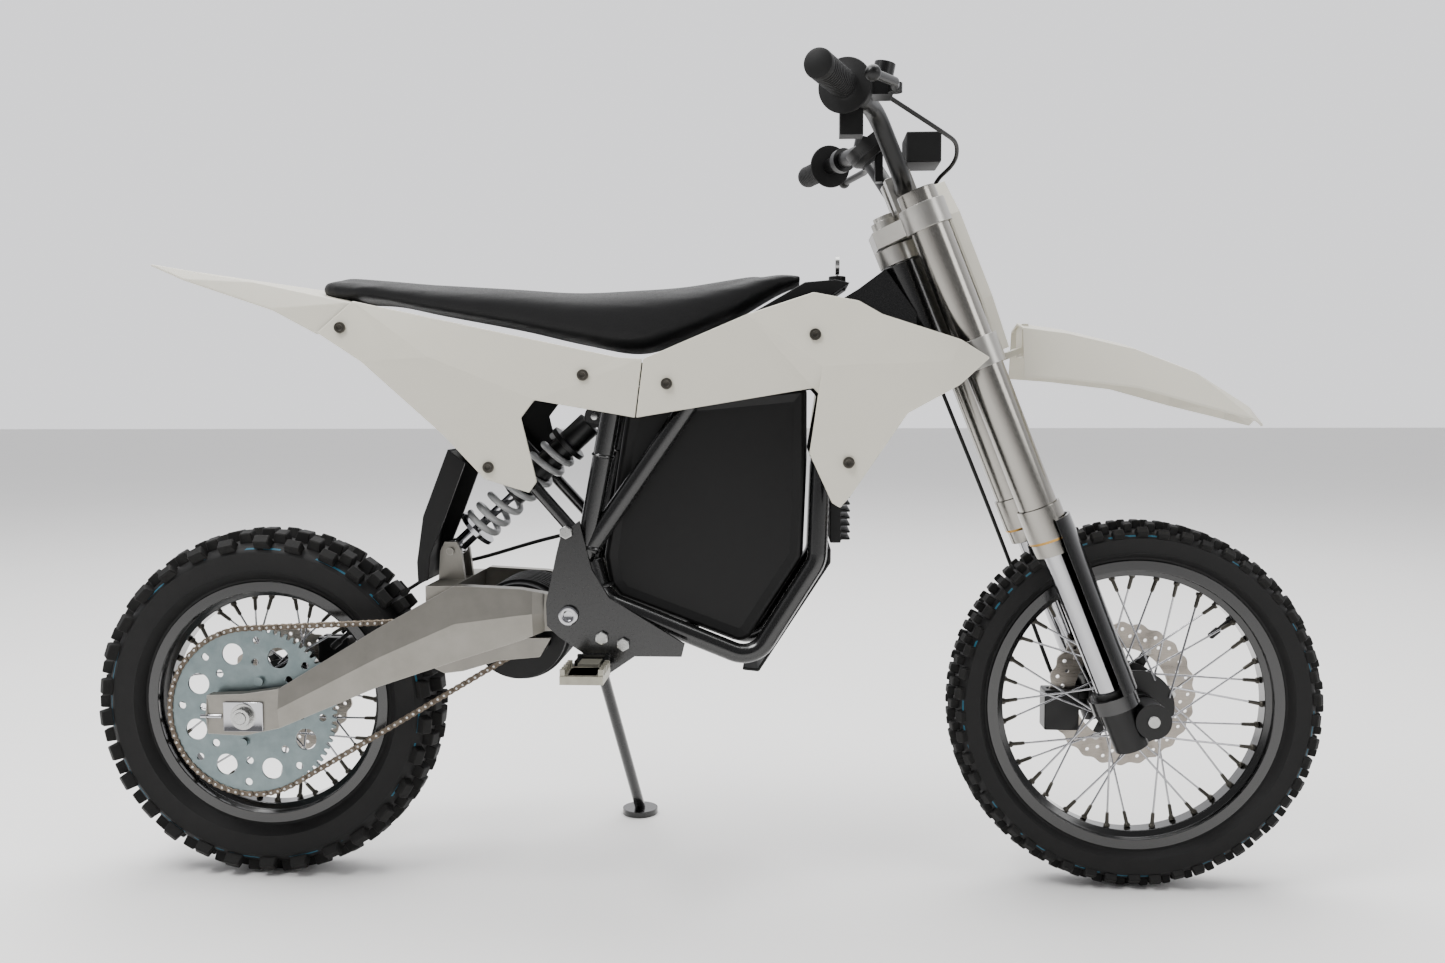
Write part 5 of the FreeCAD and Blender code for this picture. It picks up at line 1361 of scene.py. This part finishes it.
# ------------------------------------------------------------------ steering and controls
@dataclass
class ForkAndClamps:
    """The telescopic fork, its clamps and the front brake."""

    spread: float = 0.082
    ahead: float = 0.033
    seal_up: float = 0.2535
    pinch_ups: tuple[float, ...] = (0.494, 0.506, 0.679)
    pinch_inset: float = 0.018
    pinch_ahead: float = 0.027

    def on_leg(self, up: float, side: float, ahead: float) -> Vector:
        """A point beside a fork leg, from how far up, across and ahead it is."""
        return FRONT_AXLE + FORK_AHEAD * (ahead - self.ahead) + FORK_UP * up + ACROSS * side

    def build(self) -> None:
        """Builds the fork."""
        Skin("fork_outer_tubes", Body.STEERING, "fork_alloy", FORK_ALLOY, 0.001).hand_in()
        dress(CHROME, "fork_inner_tubes")
        Skin("lower_clamp_and_stem", Body.STEERING, "clamp_alloy", CLAMP_ALLOY, 0.002, 3).hand_in()
        Skin("top_clamp", Body.STEERING, "clamp_alloy", CLAMP_ALLOY, 0.002, 3).hand_in()
        Skin("fork_axle_clamps", Body.FORK_LOWER, "axle_clamp_black", SATIN_BLACK, 0.0016, 3).hand_in()
        Skin("fork_guards", Body.FORK_LOWER, "battery_black", GLOSS_RIM, 0.0012, 3).hand_in()
        Skin("front_axle", Body.FORK_LOWER, "bolt_steel", BOLT_STEEL, 0.001, 3).hand_in()
        Skin("front_caliper", Body.FORK_LOWER, "caliper_black", SATIN_BLACK, 0.0024, 3).hand_in()
        rings, bolts = [], []
        for side in (-1, 1):
            place = facing(self.on_leg(self.seal_up, side * self.spread, 0.0), FORK_UP)
            ring = lathe(f"seal_ring_{side}",
                         [(0.0245, 0.0), (0.0262, 0.0), (0.0268, 0.0012), (0.0268, 0.0055), (0.0258, 0.0070),
                          (0.0245, 0.0070)], place, 48)
            rings.append(ring)
        hand_in(joined("fork_seal_rings", *rings), Body.STEERING, "fork_alloy", GOLD_SEAL)
        head = hex_bolt("pinch_bolt", 0.0055, 0.006)
        places = []
        for up in self.pinch_ups:
            for side in (-1, 1):
                start = self.on_leg(up, side * (self.spread - self.pinch_inset), self.pinch_ahead)
                places.append(facing(start, ACROSS * -side))
        bolts = copies(head, places, "clamp_pinch_bolts")
        hand_in(smooth(bolts), Body.STEERING, "bolt_steel", BOLT_STEEL)
        dress(HOSE_RUBBER, "front_brake_hose")


@dataclass
class Controls:
    """The handlebar with its grips, levers, gauge, switch box and key."""

    ribs: int = 15
    rib_pitch: float = 0.0054
    bar_end: Vector = field(default_factory=lambda: Vector((0.1533, 0.313, 0.9811)))
    corner: Vector = field(default_factory=lambda: Vector((0.2263, 0.115, 0.9791)))

    def grip(self, side: int) -> Object:
        """One ribbed grip with its flange and closed end.

        Args:
            side: 1 for the left grip and -1 for the right.

        Returns:
            The grip.
        """
        end, corner = (Vector((v.x, v.y * side, v.z)) for v in (self.bar_end, self.corner))
        out = (end - corner).normalized()
        profile = [(0.0, 0.0985), (0.012, 0.0985), (0.0155, 0.0965), (0.0162, 0.093)]
        for i in range(self.ribs):
            top = 0.090 - i * self.rib_pitch
            profile += [(0.0160, top), (0.0160, top - 0.0034), (0.0148, top - 0.0040), (0.0148, top - 0.0050)]
        profile += [(0.0160, 0.0085), (0.0195, 0.0075), (0.0300, 0.0060), (0.0308, 0.0045), (0.0305, 0.0025),
                    (0.0300, 0.0020), (0.0, 0.0020)]
        start = end + out * 0.003 - out * 0.0985
        return lathe(f"ribbed_grip_{side}", profile, facing(start, out), 48)

    def gauge(self) -> None:
        """The round gauge with a raised bezel, a pale face and tick marks."""
        way = Vector((-0.62, 0, 0.78)).normalized()
        low_face = Vector((0.2333, 0.040, 0.9621))
        body = lathe("gauge_body", [(0.0, -0.008), (0.024, -0.008), (0.029, -0.003), (0.031, 0.002),
                                    (0.031, 0.0065), (0.0295, 0.008), (0.0275, 0.008), (0.0265, 0.0062),
                                    (0.0, 0.0062)], facing(low_face, way), 64)
        face = lathe("gauge_lens", [(0.0, 0.0063), (0.0264, 0.0063), (0.0262, 0.0068), (0.014, 0.0075),
                                    (0.0, 0.0078)], facing(low_face, way), 64)
        mark = primitive("cube", "gauge_mark", size=1, location=(0.0215, 0, 0.0079))
        mark.scale = (0.0045, 0.0011, 0.0004)
        settle(mark)
        pick(mark, lambda spot, normal: normal.x < -0.9)
        with editing(mark, everything=False):
            bpy.ops.transform.resize(value=(1, 0.6, 1))
        marks = copies(mark, [facing(low_face, way) @ Matrix.Rotation(math.radians(a), 4, "Z")
                              for a in range(-40, 221, 26)], "gauge_marks")
        for part, finish in ((body, BLACK_PLASTIC), (face, GAUGE_FACE), (marks, MATTE_BLACK)):
            coloured(part, finish)
        hand_in(joined("round_gauge", body, face, marks), Body.STEERING, "bar_black", None)

    def build(self) -> None:
        """Builds the controls."""
        dress(SATIN_BLACK, "handlebar", "display")
        hand_in(self.grip(1), Body.STEERING, "grip_rubber", GRIP_RUBBER, "left_grip")
        hand_in(self.grip(-1), Body.THROTTLE, "grip_rubber", GRIP_RUBBER, "throttle_grip")
        Skin("throttle_housing", Body.STEERING, "bar_black", BLACK_PLASTIC, 0.0022, 3).hand_in()
        Skin("brake_masters", Body.STEERING, "caliper_black", SATIN_BLACK, 0.0018, 3).hand_in()
        Skin("front_brake_lever", Body.FRONT_LEVER, "bar_black", SATIN_BLACK, 0.0014, 3).hand_in()
        Skin("rear_brake_lever", Body.REAR_LEVER, "bar_black", SATIN_BLACK, 0.0014, 3).hand_in()
        Skin("wiring_box", Body.STEERING, "battery_black", BLACK_PLASTIC, 0.002, 3).hand_in()
        Skin("ignition_key", Body.KEY, "bolt_steel", BOLT_STEEL, 0.0008, 3).hand_in()
        self.gauge()


@dataclass
class StandAndPegs:
    """The side stand and the two folding footpegs."""

    stand_edge: float = 0.0012
    peg_edge: float = 0.0008

    def build(self) -> None:
        """Builds the stand and the pegs."""
        Skin("side_stand", Body.STAND, "frame_black", FRAME_COAT, self.stand_edge).hand_in()
        for side, body in (("right", Body.PEG_RIGHT), ("left", Body.PEG_LEFT)):
            Skin(f"footpeg_{side}", body, "peg_steel", PEG_STEEL, self.peg_edge).hand_in()


# ------------------------------------------------------------------ studio
@dataclass
class Studio:
    """The floor, the soft lights and the camera."""

    spot: Vector = field(default_factory=lambda: Vector((0.12136, -1.58064, 0.63026)))
    yaw: float = -3.054
    pitch: float = 3.669
    roll: float = -0.123
    lens: float = 29.97

    def light(self, name: str, at: tuple[float, float, float], size: float, watts: float) -> None:
        """A soft square light that faces the bike.

        Args:
            name: The light's name.
            at: Where it hangs.
            size: The length of its side.
            watts: Its power.
        """
        lamp = bpy.data.lights.new(name, "AREA")
        lamp.size, lamp.energy = size, watts
        holder = bpy.data.objects.new(name, lamp)
        bpy.context.scene.collection.objects.link(holder)
        holder.matrix_world = facing(Vector(at), Vector(at) - Vector((0, 0, 0.45)))

    def air(self) -> None:
        """A room that is pale behind the bike and dim behind the photographer, so that metal has contrast."""
        world = bpy.context.scene.world or bpy.data.worlds.new("studio_air")
        bpy.context.scene.world = world
        world.use_nodes = True
        tree = world.node_tree
        tree.nodes.clear()
        way = put(tree, "ShaderNodeTexCoord", {}).outputs["Generated"]
        parts = put(tree, "ShaderNodeSeparateXYZ", {0: way})
        share = put(tree, "ShaderNodeMapRange",
                    {"Value": parts.outputs["Y"], "From Min": -0.5, "From Max": 0.3, "To Min": 0.3,
                     "To Max": 1.45})
        back = put(tree, "ShaderNodeBackground", {"Color": linear("#f7f7fa"), "Strength": share.outputs[0]})
        put(tree, "ShaderNodeOutputWorld", {"Surface": back.outputs[0]})

    def build(self) -> None:
        """Builds the studio."""
        floor = primitive("grid", "studio_floor", x_subdivisions=2, y_subdivisions=2, size=60)
        floor.data.materials.append(Finish("pale_studio_floor", "#f1f0ee", "#ecebe9", roughness=0.7,
                                           grain_mm=40, depth_mm=0.0, mottle_mm=900, mottle=0.3).material())
        self.air()
        self.light("key_softbox", (-1.5, -1.2, 3.1), 1.2, 82)
        self.light("side_softbox", (2.8, -1.8, 1.9), 1.3, 22)
        self.light("ceiling_softbox", (0.0, 0.9, 4.6), 5.0, 330)
        lens = bpy.data.cameras.new("studio_camera")
        lens.lens, lens.sensor_width = self.lens, 36.0
        camera = bpy.data.objects.new("studio_camera", lens)
        bpy.context.scene.collection.objects.link(camera)
        turn = Matrix.Rotation(math.radians(-self.yaw), 4, "Z")
        tilt = Matrix.Rotation(math.radians(90 - self.pitch), 4, "X")
        spin = Matrix.Rotation(math.radians(self.roll), 4, "Z")
        camera.matrix_world = Matrix.Translation(self.spot) @ turn @ tilt @ spin
        bpy.context.scene.camera = camera


def main() -> None:
    """Builds every sub-assembly in order."""
    logging.basicConfig(level=logging.INFO, format="%(message)s")
    Studio().build()
    Wheel("front", FRONT_AXLE, Body.FRONT_WHEEL, tread=0.240, half=0.0335, lip=0.190, rim_half=0.022,
          spoke_count=36, knob_rows=50, knob_height=0.010, disc_radius=0.098, disc_y=0.044).build()
    Wheel("rear", REAR_AXLE, Body.REAR_WHEEL, tread=0.233, half=0.042, lip=0.164, rim_half=0.028,
          spoke_count=32, knob_rows=30, knob_height=0.013, disc_radius=0.088, disc_y=0.052).build()
    ChainDrive().build()
    RearArm().build()
    RearShock().build()
    MainFrame().build()
    Seat().build()
    Bodywork().build()
    ForkAndClamps().build()
    Controls().build()
    StandAndPegs().build()


if __name__ == "__main__":
    main()
